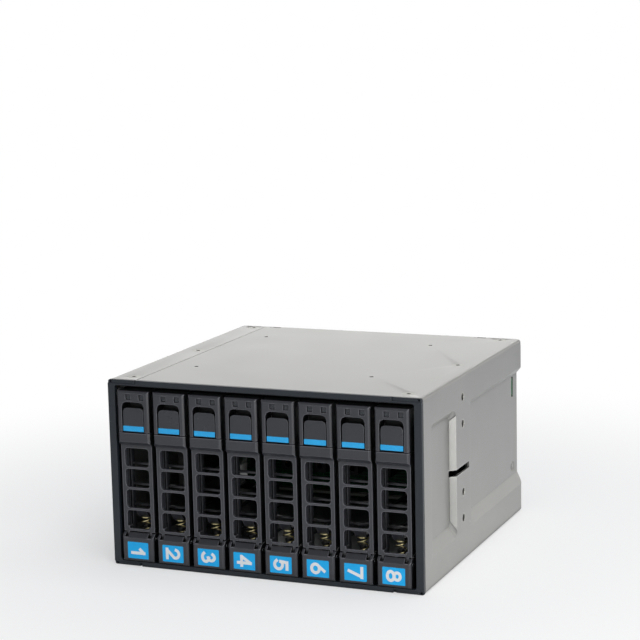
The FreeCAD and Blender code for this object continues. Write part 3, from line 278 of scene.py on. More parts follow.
# Painted shade in the recess of a screw: almost black.
screw_recess_shade = plated("painted_shade_screw_recess", "#1B1B1A", "#2A2A28", 0.55, 0.4 * mm)
# Drawn steel pins: bare, smooth and cool grey.
pin_steel = plated("drawn_steel_pin", "#8D9092", "#A3A6A8", 0.25, 1.5 * mm)
# Spring wire with yellow passivation: brassy gold.
spring_wire = plated("yellow_passivated_wire", "#E0CF8E", "#F8EFC4", 0.3, 0.6 * mm)
# Tin-plated shields of the data sockets: smooth silver grey.
shield_tin = plated("tin_plated_shield", "#9C9FA1", "#B3B5B6", 0.3, 1.2 * mm)
# Gold-plated contacts: small, bright and yellow.
contact_gold = plated("gold_plated_contact", "#C79A3F", "#E0B860", 0.22, 0.5 * mm)
metals = (sheet_steel, screw_nickel, screw_recess_shade, pin_steel, spring_wire, shield_tin, contact_gold)
print("metals:", [metal.name for metal in metals])

# %% [markdown]
# The front frame is powder coated: dry paint is sprayed on and baked until it flows. That leaves a
# black skin with a very slight orange peel, about a millimetre across, and a soft broad highlight.

# %% Powder coat
def powder_coat(name, shade, light_shade, roughness):
    """Baked powder paint with a slight orange peel."""
    material, tree, place, output = new_material(name)
    peel = node(tree, "ShaderNodeTexNoise", {"Scale": 1 / (0.9 * mm), "Detail": 1.5}, {"Vector": place})
    drift = node(tree, "ShaderNodeTexNoise", {"Scale": 1 / (18 * mm), "Detail": 2.0}, {"Vector": place})
    tone = node(tree, "ShaderNodeMix", {"data_type": "RGBA", 6: linear(shade), 7: linear(light_shade)},
                {0: drift.outputs["Fac"]})
    bump = node(tree, "ShaderNodeBump", {"Strength": 0.35, "Distance": 0.03 * mm},
                {"Height": peel.outputs["Fac"]})
    surface = node(tree, "ShaderNodeBsdfPrincipled", {"IOR": 1.5, "Roughness": roughness},
                   {"Base Color": tone.outputs[2], "Normal": bump.outputs[0]})
    tree.links.new(surface.outputs[0], output.inputs["Surface"])
    return material


# Black polyester powder: near black with a cool tinge and a satin gloss.
frame_coat = powder_coat("black_powder_coat", "#1A2025", "#232A31", 0.38)
print("coat:", frame_coat.name)

# %% [markdown]
# Light pipes are polished acrylic rods that carry light from the board to the tray's head. Unlit,
# they are smoked and dark. Transmission lets some light in, and a faint cloud keeps them from looking
# like a hole.

# %% Smoked acrylic
def acrylic(name, shade, light_shade, roughness):
    """Smoked, polished acrylic that lets a little light in."""
    material, tree, place, output = new_material(name)
    cloud = node(tree, "ShaderNodeTexNoise", {"Scale": 1 / (3 * mm), "Detail": 2.0}, {"Vector": place})
    tone = node(tree, "ShaderNodeMix", {"data_type": "RGBA", 6: linear(shade), 7: linear(light_shade)},
                {0: cloud.outputs["Fac"]})
    surface = node(tree, "ShaderNodeBsdfPrincipled",
                   {"IOR": 1.49, "Roughness": roughness, "Transmission Weight": 0.35},
                   {"Base Color": tone.outputs[2]})
    tree.links.new(surface.outputs[0], output.inputs["Surface"])
    return material


# Smoked acrylic, flame-polished: dark and glassy.
pipe_acrylic = acrylic("smoked_polished_acrylic", "#2C2F33", "#4A4E53", 0.18)
print("acrylic:", pipe_acrylic.name)

# %% [markdown]
# The circuit board is glass-fibre laminate under a green solder mask. The mask is glossy and slightly
# see-through, so the copper tracks below show as paler green lines. A brick texture gives straight
# lines that step sideways, as tracks do: a track and its gap come to 1.6 mm here, wider than real ones
# so that they can be seen.

# %% Printed circuit
TRACK_STEP, TRACK_WIDTH, TRACK_RUN = 1.6 * mm, 0.16 * mm, 11 * mm


def solder_mask(name, shade, track_shade, roughness):
    """Solder mask over copper tracks and a glass weave."""
    material, tree, place, output = new_material(name)
    upright = node(tree, "ShaderNodeMapping", {"Rotation": (math.radians(90), 0, 0)}, {"Vector": place})
    tracks = node(tree, "ShaderNodeTexBrick",
                  {"Scale": 1.0, "Mortar Size": TRACK_WIDTH, "Mortar Smooth": 0.2,
                   "Brick Width": TRACK_RUN, "Row Height": TRACK_STEP, "Color1": linear(shade),
                   "Color2": linear(shade), "Mortar": linear(track_shade)},
                  {"Vector": upright.outputs[0]})
    weave = node(tree, "ShaderNodeTexNoise", {"Scale": 1 / (0.7 * mm), "Detail": 2.0},
                 {"Vector": place})
    bump = node(tree, "ShaderNodeBump", {"Strength": 0.2, "Distance": 0.03 * mm},
                {"Height": weave.outputs["Fac"]})
    surface = node(tree, "ShaderNodeBsdfPrincipled", {"IOR": 1.55, "Roughness": roughness},
                   {"Base Color": tracks.outputs["Color"], "Normal": bump.outputs[0]})
    tree.links.new(surface.outputs[0], output.inputs["Surface"])
    return material


# Green solder mask: deep green and glossy, with paler tracks.
board_mask = solder_mask("green_solder_mask", "#12552F", "#2A7A4A", 0.25)
print("board:", board_mask.name)

# %% [markdown]
# Labels and the stripes on the buttons are printed vinyl film. Film is smooth, with a satin gloss and
# a hardly visible waviness where it is pressed down by hand.

# %% Printed film
def vinyl(name, shade, light_shade, roughness):
    """Printed film, pressed down by hand."""
    material, tree, place, output = new_material(name)
    wave = node(tree, "ShaderNodeTexNoise", {"Scale": 1 / (4 * mm), "Detail": 2.0}, {"Vector": place})
    tone = node(tree, "ShaderNodeMix", {"data_type": "RGBA", 6: linear(shade), 7: linear(light_shade)},
                {0: wave.outputs["Fac"]})
    bump = node(tree, "ShaderNodeBump", {"Strength": 0.2, "Distance": 0.02 * mm},
                {"Height": wave.outputs["Fac"]})
    surface = node(tree, "ShaderNodeBsdfPrincipled", {"IOR": 1.5, "Roughness": roughness},
                   {"Base Color": tone.outputs[2], "Normal": bump.outputs[0]})
    tree.links.new(surface.outputs[0], output.inputs["Surface"])
    return material


# Blue vinyl of the labels: flat, strong and satin.
label_film = vinyl("blue_printed_vinyl", "#00AEF4", "#00BBFF", 0.4)
# Screen-printed white ink: thick and slightly chalky.
number_ink = vinyl("white_screen_ink", "#EDF0F0", "#F7F9F9", 0.45)
# The buttons' stripe: a paler, glossier blue.
stripe_film = vinyl("blue_stripe_vinyl", "#1FA6E6", "#2CB6F4", 0.35)
print("films:", label_film.name, number_ink.name, stripe_film.name)

# %% [markdown]
# Each node of the engineering model already names the material that it is made of, so the finishes
# are handed out by that name, not node by node.

# %% Give every node its finish
finishes = {
    "galvanised_steel": sheet_steel,
    "black_frame": frame_coat,
    "tray_plastic": tray_abs,
    "button_plastic": button_abs,
    "guide_plastic": guide_nylon,
    "light_pipe": pipe_acrylic,
    "spring_wire": spring_wire,
    "pin_steel": pin_steel,
    "screw_steel": screw_nickel,
    "circuit_board": board_mask,
    "connector_plastic": socket_polyester,
    "power_plastic": natural_nylon,
    "port_steel": shield_tin,
}
for part in frame["record"]["subparts"]:
    for socket in nodes[part["node"]].material_slots:
        socket.material = finishes[part["material_slot"]]

# %% [markdown]
# No real edge is perfectly sharp: sheet has a small break from the punch, and moulded plastic has a
# radius from the mould. Those thin rounds catch the light and are what makes a surface look solid. A
# bevel modifier adds them without touching the model's own mesh. The faces are welded first, since
# the bevel needs joined faces, and a weighted-normal modifier keeps the large faces flat. A pressed
# fold in sheet is much rounder than its cut edge, so a few geometry nodes measure each edge's angle
# and length and store its share of the bevel's width; that round, with the sheet's painted highlight,
# draws the pale line along each fold.

# %% Measure each edge
FOLD_ANGLE = math.radians(12)
FOLD_LENGTH = 3 * mm


def edge_group(name, sharp_limit, sharp_share, fold_share):
    """Shades smooth and gives sharp edges and long folds their shares of the bevel's width."""
    group = bpy.data.node_groups.new(name, "GeometryNodeTree")
    group.interface.new_socket("Geometry", in_out="INPUT", socket_type="NodeSocketGeometry")
    group.interface.new_socket("Geometry", in_out="OUTPUT", socket_type="NodeSocketGeometry")
    entry = node(group, "NodeGroupInput")
    smooth = node(group, "GeometryNodeSetShadeSmooth", {"Shade Smooth": True},
                  {"Geometry": entry.outputs[0]})
    angle = node(group, "GeometryNodeInputMeshEdgeAngle").outputs["Unsigned Angle"]
    ends = node(group, "GeometryNodeInputMeshEdgeVertices")
    length = node(group, "ShaderNodeVectorMath", {"operation": "DISTANCE"},
                  {0: ends.outputs["Position 1"], 1: ends.outputs["Position 2"]})
    bent = node(group, "FunctionNodeCompare", {"operation": "GREATER_THAN", 1: FOLD_ANGLE}, {0: angle})
    long = node(group, "FunctionNodeCompare", {"operation": "GREATER_THAN", 1: FOLD_LENGTH},
                {0: length.outputs["Value"]})
    sharp = node(group, "FunctionNodeCompare",
                 {"operation": "GREATER_THAN", 1: math.radians(sharp_limit)}, {0: angle})
    fold = node(group, "FunctionNodeBooleanMath", {"operation": "AND"},
                {0: bent.outputs[0], 1: long.outputs[0]})
    low = node(group, "GeometryNodeSwitch", {"input_type": "FLOAT", "True": fold_share},
               {"Switch": fold.outputs[0]})
    share = node(group, "GeometryNodeSwitch", {"input_type": "FLOAT", "True": sharp_share},
                 {"Switch": sharp.outputs[0], "False": low.outputs[0]})
    store = node(group, "GeometryNodeStoreNamedAttribute",
                 {"data_type": "FLOAT", "domain": "EDGE", "Name": "bevel_weight_edge"},
                 {"Geometry": smooth.outputs[0], "Value": share.outputs[0]})
    node(group, "NodeGroupOutput", {}, {0: store.outputs[0]})
    return group


sheet_edges = edge_group("sheet_edges", 62, 0.2, 1.0)
plain_edges = edge_group("plain_edges", 22, 1.0, 0.0)
print("edge groups:", sheet_edges.name, plain_edges.name)

# %% [markdown]
# The rounds themselves follow from how each piece is made: half a millimetre for a fold in sheet, a
# quarter for most mouldings, a tenth for small turned parts. The bevel is clamped, so that no round is
# wider than the face beside it.

# %% Soften the edges
def soften(target, width, group):
    """Welds the faces, rounds the edges that the group picks and keeps large faces flat."""
    weld = target.modifiers.new("weld", "WELD")
    weld.merge_threshold = 0.002 * mm
    target.modifiers.new("edges", "NODES").node_group = group
    bevel = target.modifiers.new("edge_round", "BEVEL")
    bevel.width = width
    bevel.segments = 2
    bevel.limit_method = "WEIGHT"
    bevel.use_clamp_overlap = True
    bevel.loop_slide = False
    bevel.miter_outer = "MITER_ARC"
    target.modifiers.new("normals", "WEIGHTED_NORMAL").weight = 90


SHEET_FOLD = 0.5 * mm
edge_rounds = {
    "black_frame": 0.2 * mm,
    "tray_plastic": 0.24 * mm,
    "button_plastic": 0.35 * mm,
    "guide_plastic": 0.2 * mm,
    "light_pipe": 0.1 * mm,
    "pin_steel": 0.15 * mm,
    "screw_steel": 0.1 * mm,
    "circuit_board": 0.08 * mm,
    "connector_plastic": 0.2 * mm,
    "power_plastic": 0.25 * mm,
    "port_steel": 0.15 * mm,
}
for name in ("upper_shell", "lower_shell"):
    soften(nodes[name], SHEET_FOLD, sheet_edges)
for part in frame["record"]["subparts"]:
    if part["material_slot"] in edge_rounds:
        soften(nodes[part["node"]], edge_rounds[part["material_slot"]], plain_edges)
print("softened, in mm:", {slot: round(width / mm, 2) for slot, width in edge_rounds.items()})

# %% [markdown]
# New pieces are built as meshes straight in the model's own coordinates, so that nothing has to be
# moved into place afterwards. One helper turns a bmesh into an object that rides on a body. The others
# draw what comes back often: a skin between rings of corners, a round bar along a list of points, and
# a block with rounded edges.

# %% Helpers for new pieces
def place_piece(name, bm, body, finish, smooth=True):
    """Turns the bmesh into an object with that finish, which moves with the body."""
    bmesh.ops.recalc_face_normals(bm, faces=bm.faces)
    mesh = bpy.data.meshes.new(name)
    bm.to_mesh(mesh)
    bm.free()
    mesh.materials.append(finish)
    mesh.polygons.foreach_set("use_smooth", [smooth] * len(mesh.polygons))
    made = bpy.data.objects.new(name, mesh)
    bpy.context.scene.collection.objects.link(made)
    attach(made, body)
    return made


def circle(count):
    """Corners of a circle of radius one."""
    turns = [2 * math.pi * k / count for k in range(count)]
    return [(math.cos(turn), math.sin(turn)) for turn in turns]


def bridge(bm, rings):
    """Skin of quads between rings of the same number of corners."""
    for here, following in zip(rings, rings[1:]):
        count = len(here)
        for k in range(count):
            n = (k + 1) % count
            bm.faces.new((here[k], here[n], following[n], following[k]))


def closed_skin(bm, rings):
    """Closed skin: between the rings, and over the first and the last."""
    bridge(bm, rings)
    bm.faces.new(list(reversed(rings[0])))
    bm.faces.new(rings[-1])


def round_bar(bm, points, radius, sides):
    """Closed tube along the points, its section turned with the path."""
    rings = []
    for k, point in enumerate(points):
        ahead = points[min(k + 1, len(points) - 1)] - points[max(k - 1, 0)]
        ahead.normalize()
        side = ahead.cross(Vector((0, 0, 1)))
        if side.length < 0.1:
            side = Vector((1, 0, 0))
        side.normalize()
        up = side.cross(ahead)
        rings.append([bm.verts.new(point + side * (radius * c) + up * (radius * s))
                      for c, s in circle(sides)])
    closed_skin(bm, rings)


def soft_block(bm, low, high, edge):
    """Block with rounded edges between two corners."""
    made = bmesh.ops.create_cube(bm, size=1.0)["verts"]
    middle, size = (low + high) / 2, high - low
    for vert in made:
        vert.co = Vector([middle[k] + vert.co[k] * size[k] for k in range(3)])
    edges = list({e for vert in made for e in vert.link_edges})
    bmesh.ops.bevel(bm, geom=edges, offset=edge, segments=2, profile=0.5, affect="EDGES")


print("corners of a bar with four sides:", [(round(c), round(s)) for c, s in circle(4)])

# %% [markdown]
# Under each lever's heel stands a coil spring that kicks the lever out when the button lets go. It is
# cold-wound from round wire, with the last turn at each end laid flat so that it stands square. A
# screw modifier could draw it, but it can't flatten the ends, so the path is worked out here: the
# height eases in and out over the end turns.

# %% Kick-out springs
WIRE = 0.7 * mm
TURNS = 5
FLAT_TURNS = 0.8  # at each end
STEPS = 20  # points in a turn


def coil_points(low, high):
    """Middle of the wire, from the lower flat turn to the upper one, inside the box low to high."""
    middle = (low + high) / 2
    radius = (high.x - low.x) / 2 - WIRE * 0.6
    base, rise = low.z + WIRE / 2, high.z - low.z - WIRE
    points = []
    for k in range(TURNS * STEPS + 1):
        share = k / (TURNS * STEPS)
        turn = 2 * math.pi * share * TURNS
        eased = min(max((share * TURNS - FLAT_TURNS) / (TURNS - 2 * FLAT_TURNS), 0), 1)
        end_lift = 0.06 * WIRE * min(share, 1 - share)
        points.append(Vector((middle.x + radius * math.cos(turn), middle.y + radius * math.sin(turn),
                              base + rise * eased + end_lift)))
    return points


for tray in trays:
    spring_low, spring_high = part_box(tray + "_kick_spring")
    bm = bmesh.new()
    round_bar(bm, coil_points(spring_low, spring_high), WIRE / 2, 8)
    coil = place_piece(tray + "_coil", bm, tray, spring_wire)
    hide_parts(tray + "_kick_spring")
print("coils:", len(trays), "turns:", TURNS)

# %% [markdown]
# Each tray wears its bay number, one to eight, on a blue label at the foot, turned to be read from
# the side. The label is a thin plate with rounded corners that fills the shallow recess. A number could
# come from a font, but then its figure one would have no flag, so each number is a few strokes of even
# width: straight runs and parts of ellipses, on a figure that is one unit wide and one tall.

# %% Plates and figures
def rounded_plate(bm, x0, x1, z0, z1, back, front, radius, steps=4):
    """Plate facing -Y with rounded corners."""
    corners = [(x1 - radius, z1 - radius, 0), (x0 + radius, z1 - radius, 90),
               (x0 + radius, z0 + radius, 180), (x1 - radius, z0 + radius, 270)]
    outline = []
    for cx, cz, start in corners:
        for k in range(steps + 1):
            turn = math.radians(start + 90 * k / steps)
            outline.append((cx + radius * math.cos(turn), cz + radius * math.sin(turn)))
    closed_skin(bm, [[bm.verts.new((x, y, z)) for x, z in outline] for y in (back, front)])


def bow(cx, cy, rx, ry, start, end, steps=18):
    """Part of an ellipse between two angles in degrees."""
    turns = [math.radians(start + (end - start) * k / steps) for k in range(steps + 1)]
    return [(cx + rx * math.cos(t), cy + ry * math.sin(t)) for t in turns]


figures = {
    1: [[(0.40, 0.70), (0.78, 0.97)], [(0.80, 1.0), (0.80, 0.0)]],
    2: [bow(0.5, 0.70, 0.46, 0.30, 165, -20) + [(0.12, 0.04)], [(0.0, 0.0), (1.0, 0.0)]],
    3: [bow(0.47, 0.74, 0.38, 0.26, 150, -80, 14), bow(0.47, 0.27, 0.50, 0.27, 80, -150)],
    4: [[(0.70, 0.0), (0.70, 1.0)], [(0.66, 0.98), (0.02, 0.32)], [(0.0, 0.28), (1.0, 0.28)]],
    5: [[(0.92, 1.0), (0.20, 1.0)], [(0.20, 1.0), (0.12, 0.50)],
        bow(0.48, 0.32, 0.49, 0.32, 130, -150)],
    6: [[(0.72, 1.0), (0.14, 0.50)], bow(0.5, 0.31, 0.48, 0.31, 0, 360, 26)[:-1]],
    7: [[(0.0, 1.0), (1.0, 1.0)], [(0.92, 0.96), (0.38, 0.0)]],
    8: [bow(0.5, 0.76, 0.40, 0.24, 0, 360, 24)[:-1], bow(0.5, 0.26, 0.50, 0.26, 0, 360, 26)[:-1]],
}
CLOSED_STROKE = 24  # a stroke of this many points or more is a closed ring
print("strokes in each figure:", {figure: len(strokes) for figure, strokes in figures.items()})

# %% [markdown]
# Screen-printed ink stands up as a thin layer with sloped edges. So a stroke is a strip with a raised
# middle, drawn along its points and mitred at the corners. Where strokes cross, each lies a hair
# higher than the one before it, so that no two faces share a plane.

# %% Labels and their numbers
LABEL_RECESS = 0.2 * mm
LABEL_LOW, LABEL_HIGH = 4.05 * mm, 11.55 * mm
LABEL_WIDTH = 10.17 * mm
LABEL_THICK = 0.12 * mm
LABEL_CORNER = 0.4 * mm
NUMBER_TALL, NUMBER_WIDE = 7.1 * mm, 5.3 * mm
INK_STROKE = 1.35 * mm
INK_HEIGHT = 0.035 * mm
INK_STEP = 0.004 * mm
INK_SECTION = ((-1, 0), (-1, 0.5), (-0.93, 1), (0.93, 1), (1, 0.5), (1, 0))  # (across, up)


def ink_stroke(bm, points, thick, tall, front, closed):
    """Strip of even width along the points, standing tall out of the plane y = front."""
    rings = []
    for k, point in enumerate(points):
        ways = []
        if k > 0 or closed:
            ways.append((point - points[k - 1]).normalized())
        if k < len(points) - 1 or closed:
            ways.append((points[(k + 1) % len(points)] - point).normalized())
        along = sum(ways, Vector((0, 0, 0))).normalized()
        across = Vector((-along.z, 0, along.x))
        reach = thick / 2 / max(along.dot(ways[0]), 0.5)
        push = 0 if closed or len(ways) == 2 else thick / 2 * (1 if k else -1)
        end = point + along * push
        rings.append([bm.verts.new(end + across * (reach * side) + Vector((0, front - tall * lift, 0)))
                      for side, lift in INK_SECTION])
    if closed:
        bridge(bm, rings + [rings[0]])
    else:
        closed_skin(bm, rings)


for number, tray in enumerate(trays, 1):
    tray_low, tray_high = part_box(tray + "_carrier")
    middle = (tray_low.x + tray_high.x) / 2
    level = (LABEL_LOW + LABEL_HIGH) / 2
    floor_y = tray_low.y + LABEL_RECESS
    bm = bmesh.new()
    rounded_plate(bm, middle - LABEL_WIDTH / 2, middle + LABEL_WIDTH / 2, LABEL_LOW, LABEL_HIGH,
                  floor_y, floor_y - LABEL_THICK, LABEL_CORNER)
    place_piece(tray + "_label", bm, tray, label_film, smooth=False)
    bm = bmesh.new()
    for layer, stroke in enumerate(figures[number]):
        spots = [Vector((middle + (upward - 0.5) * (NUMBER_TALL - INK_STROKE), 0,
                         level - (across - 0.5) * (NUMBER_WIDE - INK_STROKE)))
                 for across, upward in stroke]
        ink_stroke(bm, spots, INK_STROKE, INK_HEIGHT + INK_STEP * layer, floor_y - LABEL_THICK,
                   len(stroke) >= CLOSED_STROKE)
    place_piece(tray + "_number", bm, tray, number_ink, smooth=False)
print("labels:", len(trays))

# %% [markdown]
# A blue stripe crosses the lower end of every latch button. It is a strip of film let into the face,
# so it stands out only a tenth of a millimetre, but its edge is still modelled to catch the light.

# %% Stripes on the buttons
STRIPE_HEIGHT = 2.28 * mm
STRIPE_UP = 0.3 * mm
STRIPE_INSET = 0.1 * mm
STRIPE_SUNK, STRIPE_PROUD = 0.05 * mm, 0.1 * mm
STRIPE_CORNER = 0.25 * mm
for tray in trays:
    button_low, button_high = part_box(tray + "_latch_button")
    bm = bmesh.new()
    rounded_plate(bm, button_low.x + STRIPE_INSET, button_high.x - STRIPE_INSET,
                  button_low.z + STRIPE_UP, button_low.z + STRIPE_UP + STRIPE_HEIGHT,
                  button_low.y + STRIPE_SUNK, button_low.y - STRIPE_PROUD, STRIPE_CORNER)
    place_piece(tray + "_stripe", bm, tray + "_button", stripe_film, smooth=False)
print("stripe in mm:", STRIPE_HEIGHT / mm)

# %% [markdown]
# Behind each button stands a plain black strip with rounded edges. It only shows above the button,
# as the dark floor of the thumb pocket: painted shade in the pocket.

# %% Painted shade behind the buttons
SHADE_STRIP_WIDTH = 7.8 * mm
SHADE_STRIP_GAP, SHADE_STRIP_THICK = 0.4 * mm, 0.6 * mm  # behind the button
SHADE_STRIP_FOOT, SHADE_STRIP_TOP = 2.3 * mm, 1.2 * mm  # above the button's lower and upper end
for tray in trays:
    button_low, button_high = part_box(tray + "_latch_button")
    middle = (button_low.x + button_high.x) / 2
    bm = bmesh.new()
    front_y = button_high.y + SHADE_STRIP_GAP
    soft_block(bm, Vector((middle - SHADE_STRIP_WIDTH / 2, front_y, button_low.z + SHADE_STRIP_FOOT)),
               Vector((middle + SHADE_STRIP_WIDTH / 2, front_y + SHADE_STRIP_THICK, button_high.z + SHADE_STRIP_TOP)),
               0.1 * mm)
    place_piece(tray + "_button_shade_strip", bm, tray, guide_nylon, smooth=False)
print("leaves:", len(trays), "each in mm:", round(SHADE_STRIP_WIDTH / mm, 1), "wide")

# %% [markdown]
# Countersunk screws hold the two halves of the box together. The model has plain heads; here each
# gets a cross recess with sloping flanks, cut with a boolean modifier, and a small chamfer at its rim.
# The cutter has the near-black material of the recess, painted shade, and the boolean hands it on to
# the faces that it cuts.

# %% One screw head
HEAD_RADIUS = 2.85 * mm
HEAD_SINK = 0.95 * mm
HEAD_SIDES = 32
CROSS_REACH, CROSS_WIDTH = 1.15 * mm, 0.45 * mm  # half of each
CROSS_DEPTH = 0.85 * mm


def screw_head(radius, sink):
    """Countersunk head facing +Z with its top at z = 0."""
    bm = bmesh.new()
    profile = [(radius * 0.5, -sink), (radius, -0.12 * mm), (radius, -0.02 * mm), (radius * 0.93, 0.0)]
    closed_skin(bm, [[bm.verts.new((reach * c, reach * s, height)) for c, s in circle(HEAD_SIDES)]
              for reach, height in profile])
    bmesh.ops.recalc_face_normals(bm, faces=bm.faces)
    return bm


def cross_cutter(reach, width, depth):
    """Two crossed wedges that taper downwards, for cutting the recess."""
    bm = bmesh.new()
    for turn in (0, 90):
        spin = Matrix.Rotation(math.radians(turn), 4, "Z")
        rings = []
        for height, along, across in ((-depth, reach * 0.35, width * 0.7), (0.3 * mm, reach, width)):
            corners = ((along, across), (-along, across), (-along, -across), (along, -across))
            rings.append([bm.verts.new(spin @ Vector((a, b, height))) for a, b in corners])
        closed_skin(bm, rings)
    bmesh.ops.recalc_face_normals(bm, faces=bm.faces)
    return bm


def as_object(name, bm):
    """Turns the bmesh into an object that rides on nothing."""
    mesh = bpy.data.meshes.new(name)
    bm.to_mesh(mesh)
    bm.free()
    made = bpy.data.objects.new(name, mesh)
    bpy.context.scene.collection.objects.link(made)
    return made


blank = as_object("screw_blank", screw_head(HEAD_RADIUS, HEAD_SINK))
cutter = as_object("screw_cutter", cross_cutter(CROSS_REACH, CROSS_WIDTH, CROSS_DEPTH))
cut = blank.modifiers.new("recess", "BOOLEAN")
cut.object = cutter
cut.operation = "DIFFERENCE"
cut.solver = "EXACT"
cut.use_self = True
for piece, finish in ((blank, screw_nickel), (cutter, screw_recess_shade)):
    piece.data.materials.append(finish)
cut.material_mode = "TRANSFER"
bpy.context.view_layer.update()
one_screw = bpy.data.meshes.new_from_object(blank.evaluated_get(bpy.context.evaluated_depsgraph_get()))
bpy.data.objects.remove(blank)
bpy.data.objects.remove(cutter)
print("faces of one head:", len(one_screw.polygons))

# %% [markdown]
# The one head is copied to the places of the twelve screws, six above and six below, in two columns of
# three. Screws that are driven by hand stop at any angle, so each row is turned by another amount.

# %% Cover screws
SCREW_INSET = 2.9 * mm  # from the outermost screws' edge to their axes
ROW_STEP = 64.1 * mm  # from the first row to the second
SCREW_SINK = 0.01 * mm
FIRST_TURN, ROW_TURN, SIDE_TURN = 20, 37, 11  # degrees
screws_low, screws_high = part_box("cover_screws")
column_x = [screws_low.x + SCREW_INSET, screws_high.x - SCREW_INSET]
row_first, row_last = screws_low.y + SCREW_INSET, screws_high.y - SCREW_INSET
row_y = [row_first, row_first + ROW_STEP, row_last]
bm = bmesh.new()
for x in column_x:
    for order, y in enumerate(row_y):
        for side, z in ((1, screws_high.z), (-1, screws_low.z)):
            flip = Matrix.Rotation(0 if side > 0 else math.pi, 4, "X")
            turned = math.radians(FIRST_TURN + ROW_TURN * order + SIDE_TURN * side)
            spin = Matrix.Rotation(turned, 4, "Z")
            before = len(bm.verts)
            bm.from_mesh(one_screw)
            bm.verts.ensure_lookup_table()
            shift = Matrix.Translation((x, y, z - side * SCREW_SINK)) @ flip @ spin
            for vert in bm.verts[before:]:
                vert.co = shift @ vert.co
screws = place_piece("cross_recess_screws", bm, "cage", screw_nickel, smooth=False)
screws.data.materials.append(screw_recess_shade)
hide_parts("cover_screws")
print("screw faces:", len(screws.data.polygons))

# %% [markdown]
# The screws of the bay bite into the thin side walls, so the punch draws the sheet inwards round each
# hole, to give the thread more length. That leaves a smooth, bright ring. The model has the plain hole,
# so a ring with a rounded mouth is turned round the axis of each, at the places that the model's own
# mounts give.

# %% Rims of the bay holes
RIM_OUTER = 2.15 * mm
RIM_PROUD = 0.005 * mm  # just enough to clear the wall's plane
RIM_OFF = 0.01 * mm  # how far its hidden side stays off the sheet
RIM_MOUTH, RIM_THROAT = 0.12 * mm, 0.4 * mm  # depths
RIM_CHAMFER = 0.1 * mm
RIM_WALL = 0.08 * mm
bm = bmesh.new()
for mount in frame["record"]["mounts"]:
    if "bay_holes" not in mount["name"]:
        continue
    side = math.copysign(1.0, mount["pos_m"][0])
    hole = mount["dims"]["hole_r_mm"] * mm
    spacing = mount["dims"]["spacing_y_mm"] * mm
    profile = [(RIM_OUTER, RIM_OFF), (RIM_OUTER - RIM_CHAMFER, -RIM_PROUD),
               (hole + RIM_CHAMFER, -RIM_PROUD), (hole - RIM_WALL, RIM_MOUTH),
               (hole - RIM_WALL, RIM_THROAT), (hole - RIM_OFF, RIM_THROAT),
               (hole - RIM_OFF, RIM_OFF)]
    for step in (-0.5, 0.5):
        middle = Vector((cad_high.x * side, mount["pos_m"][1], mount["pos_m"][2] + step * spacing))
        rings = [[bm.verts.new(middle + Vector((-side * depth, reach * c, reach * s)))
                  for c, s in circle(24)] for reach, depth in profile]
        bridge(bm, rings + [rings[0]])
place_piece("bay_hole_rims", bm, "cage", screw_nickel)
print("hole rim in mm:", round(RIM_OUTER / mm, 2))

# %% [markdown]
# The back of the circuit board shows through the open rear. Beside the sockets a board of this kind
# carries a controller chip, rows of small resistors and a few round capacitors near the power
# sockets. They are simple shapes, so each is a block or a can with rounded edges and, on the chips,
# their legs.

# %% Parts on the backplane
board_low, board_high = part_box("backplane")
data_low, data_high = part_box("data_connectors")
back = board_high.y
port_z = (data_low.z + data_high.z) / 2
CHIP_BASE, CHIP_TOP = 0.15 * mm, 1.4 * mm  # over the board
LEG_ROW = 0.86  # share of the chip's width that a row of legs takes
LEG_LEVEL, LEG_DROP = 0.7 * mm, 0.62 * mm
LEG_REACH = 0.5 * mm
LEG_RADIUS = 0.09 * mm


def chip(bm_body, bm_legs, x, z, width, legs):
    """Square chip with a row of that many bent legs on each of its four sides."""
    half = width / 2
    soft_block(bm_body, Vector((x - half, back + CHIP_BASE, z - half)),
               Vector((x + half, back + CHIP_TOP, z + half)), 0.15 * mm)
    for k in range(legs):
        step = width * LEG_ROW * (k / (legs - 1) - 0.5)
        for dx, dz, out_x, out_z in ((step, half, 0, 1), (step, -half, 0, -1),
                                     (half, step, 1, 0), (-half, step, -1, 0)):
            outward = Vector((out_x, 0, out_z)) * LEG_REACH
            start = Vector((x + dx, back + LEG_LEVEL, z + dz))
            foot = start + outward * 1.6 - Vector((0, LEG_DROP, 0))
            bends = [start, start + outward * 0.8, foot, foot + outward * 0.6]
            round_bar(bm_legs, bends, LEG_RADIUS, 5)


CHIP_ASIDE = 46 * mm
bm_chips, bm_legs = bmesh.new(), bmesh.new()
chip(bm_chips, bm_legs, 0.0, port_z, 9 * mm, 12)
for x in (-CHIP_ASIDE, CHIP_ASIDE):
    chip(bm_chips, bm_legs, x, port_z - 1 * mm, 5 * mm, 7)
place_piece("backplane_chips", bm_chips, "cage", chip_epoxy, smooth=False)
place_piece("backplane_chip_legs", bm_legs, "cage", shield_tin)

RESISTOR_STEP, RESISTOR_DOWN = 2 * mm, 9.5 * mm
bm_resistors = bmesh.new()
for tray in trays:
    low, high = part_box(tray + "_carrier")
    for k in (-1, 0, 1):
        spot = Vector(((low.x + high.x) / 2 + RESISTOR_STEP * k, back, port_z - RESISTOR_DOWN))
        soft_block(bm_resistors, spot + Vector((-0.45 * mm, 0, -0.9 * mm)),
                   spot + Vector((0.45 * mm, 0.5 * mm, 0.9 * mm)), 0.1 * mm)
place_piece("backplane_resistors", bm_resistors, "cage", chip_epoxy, smooth=False)

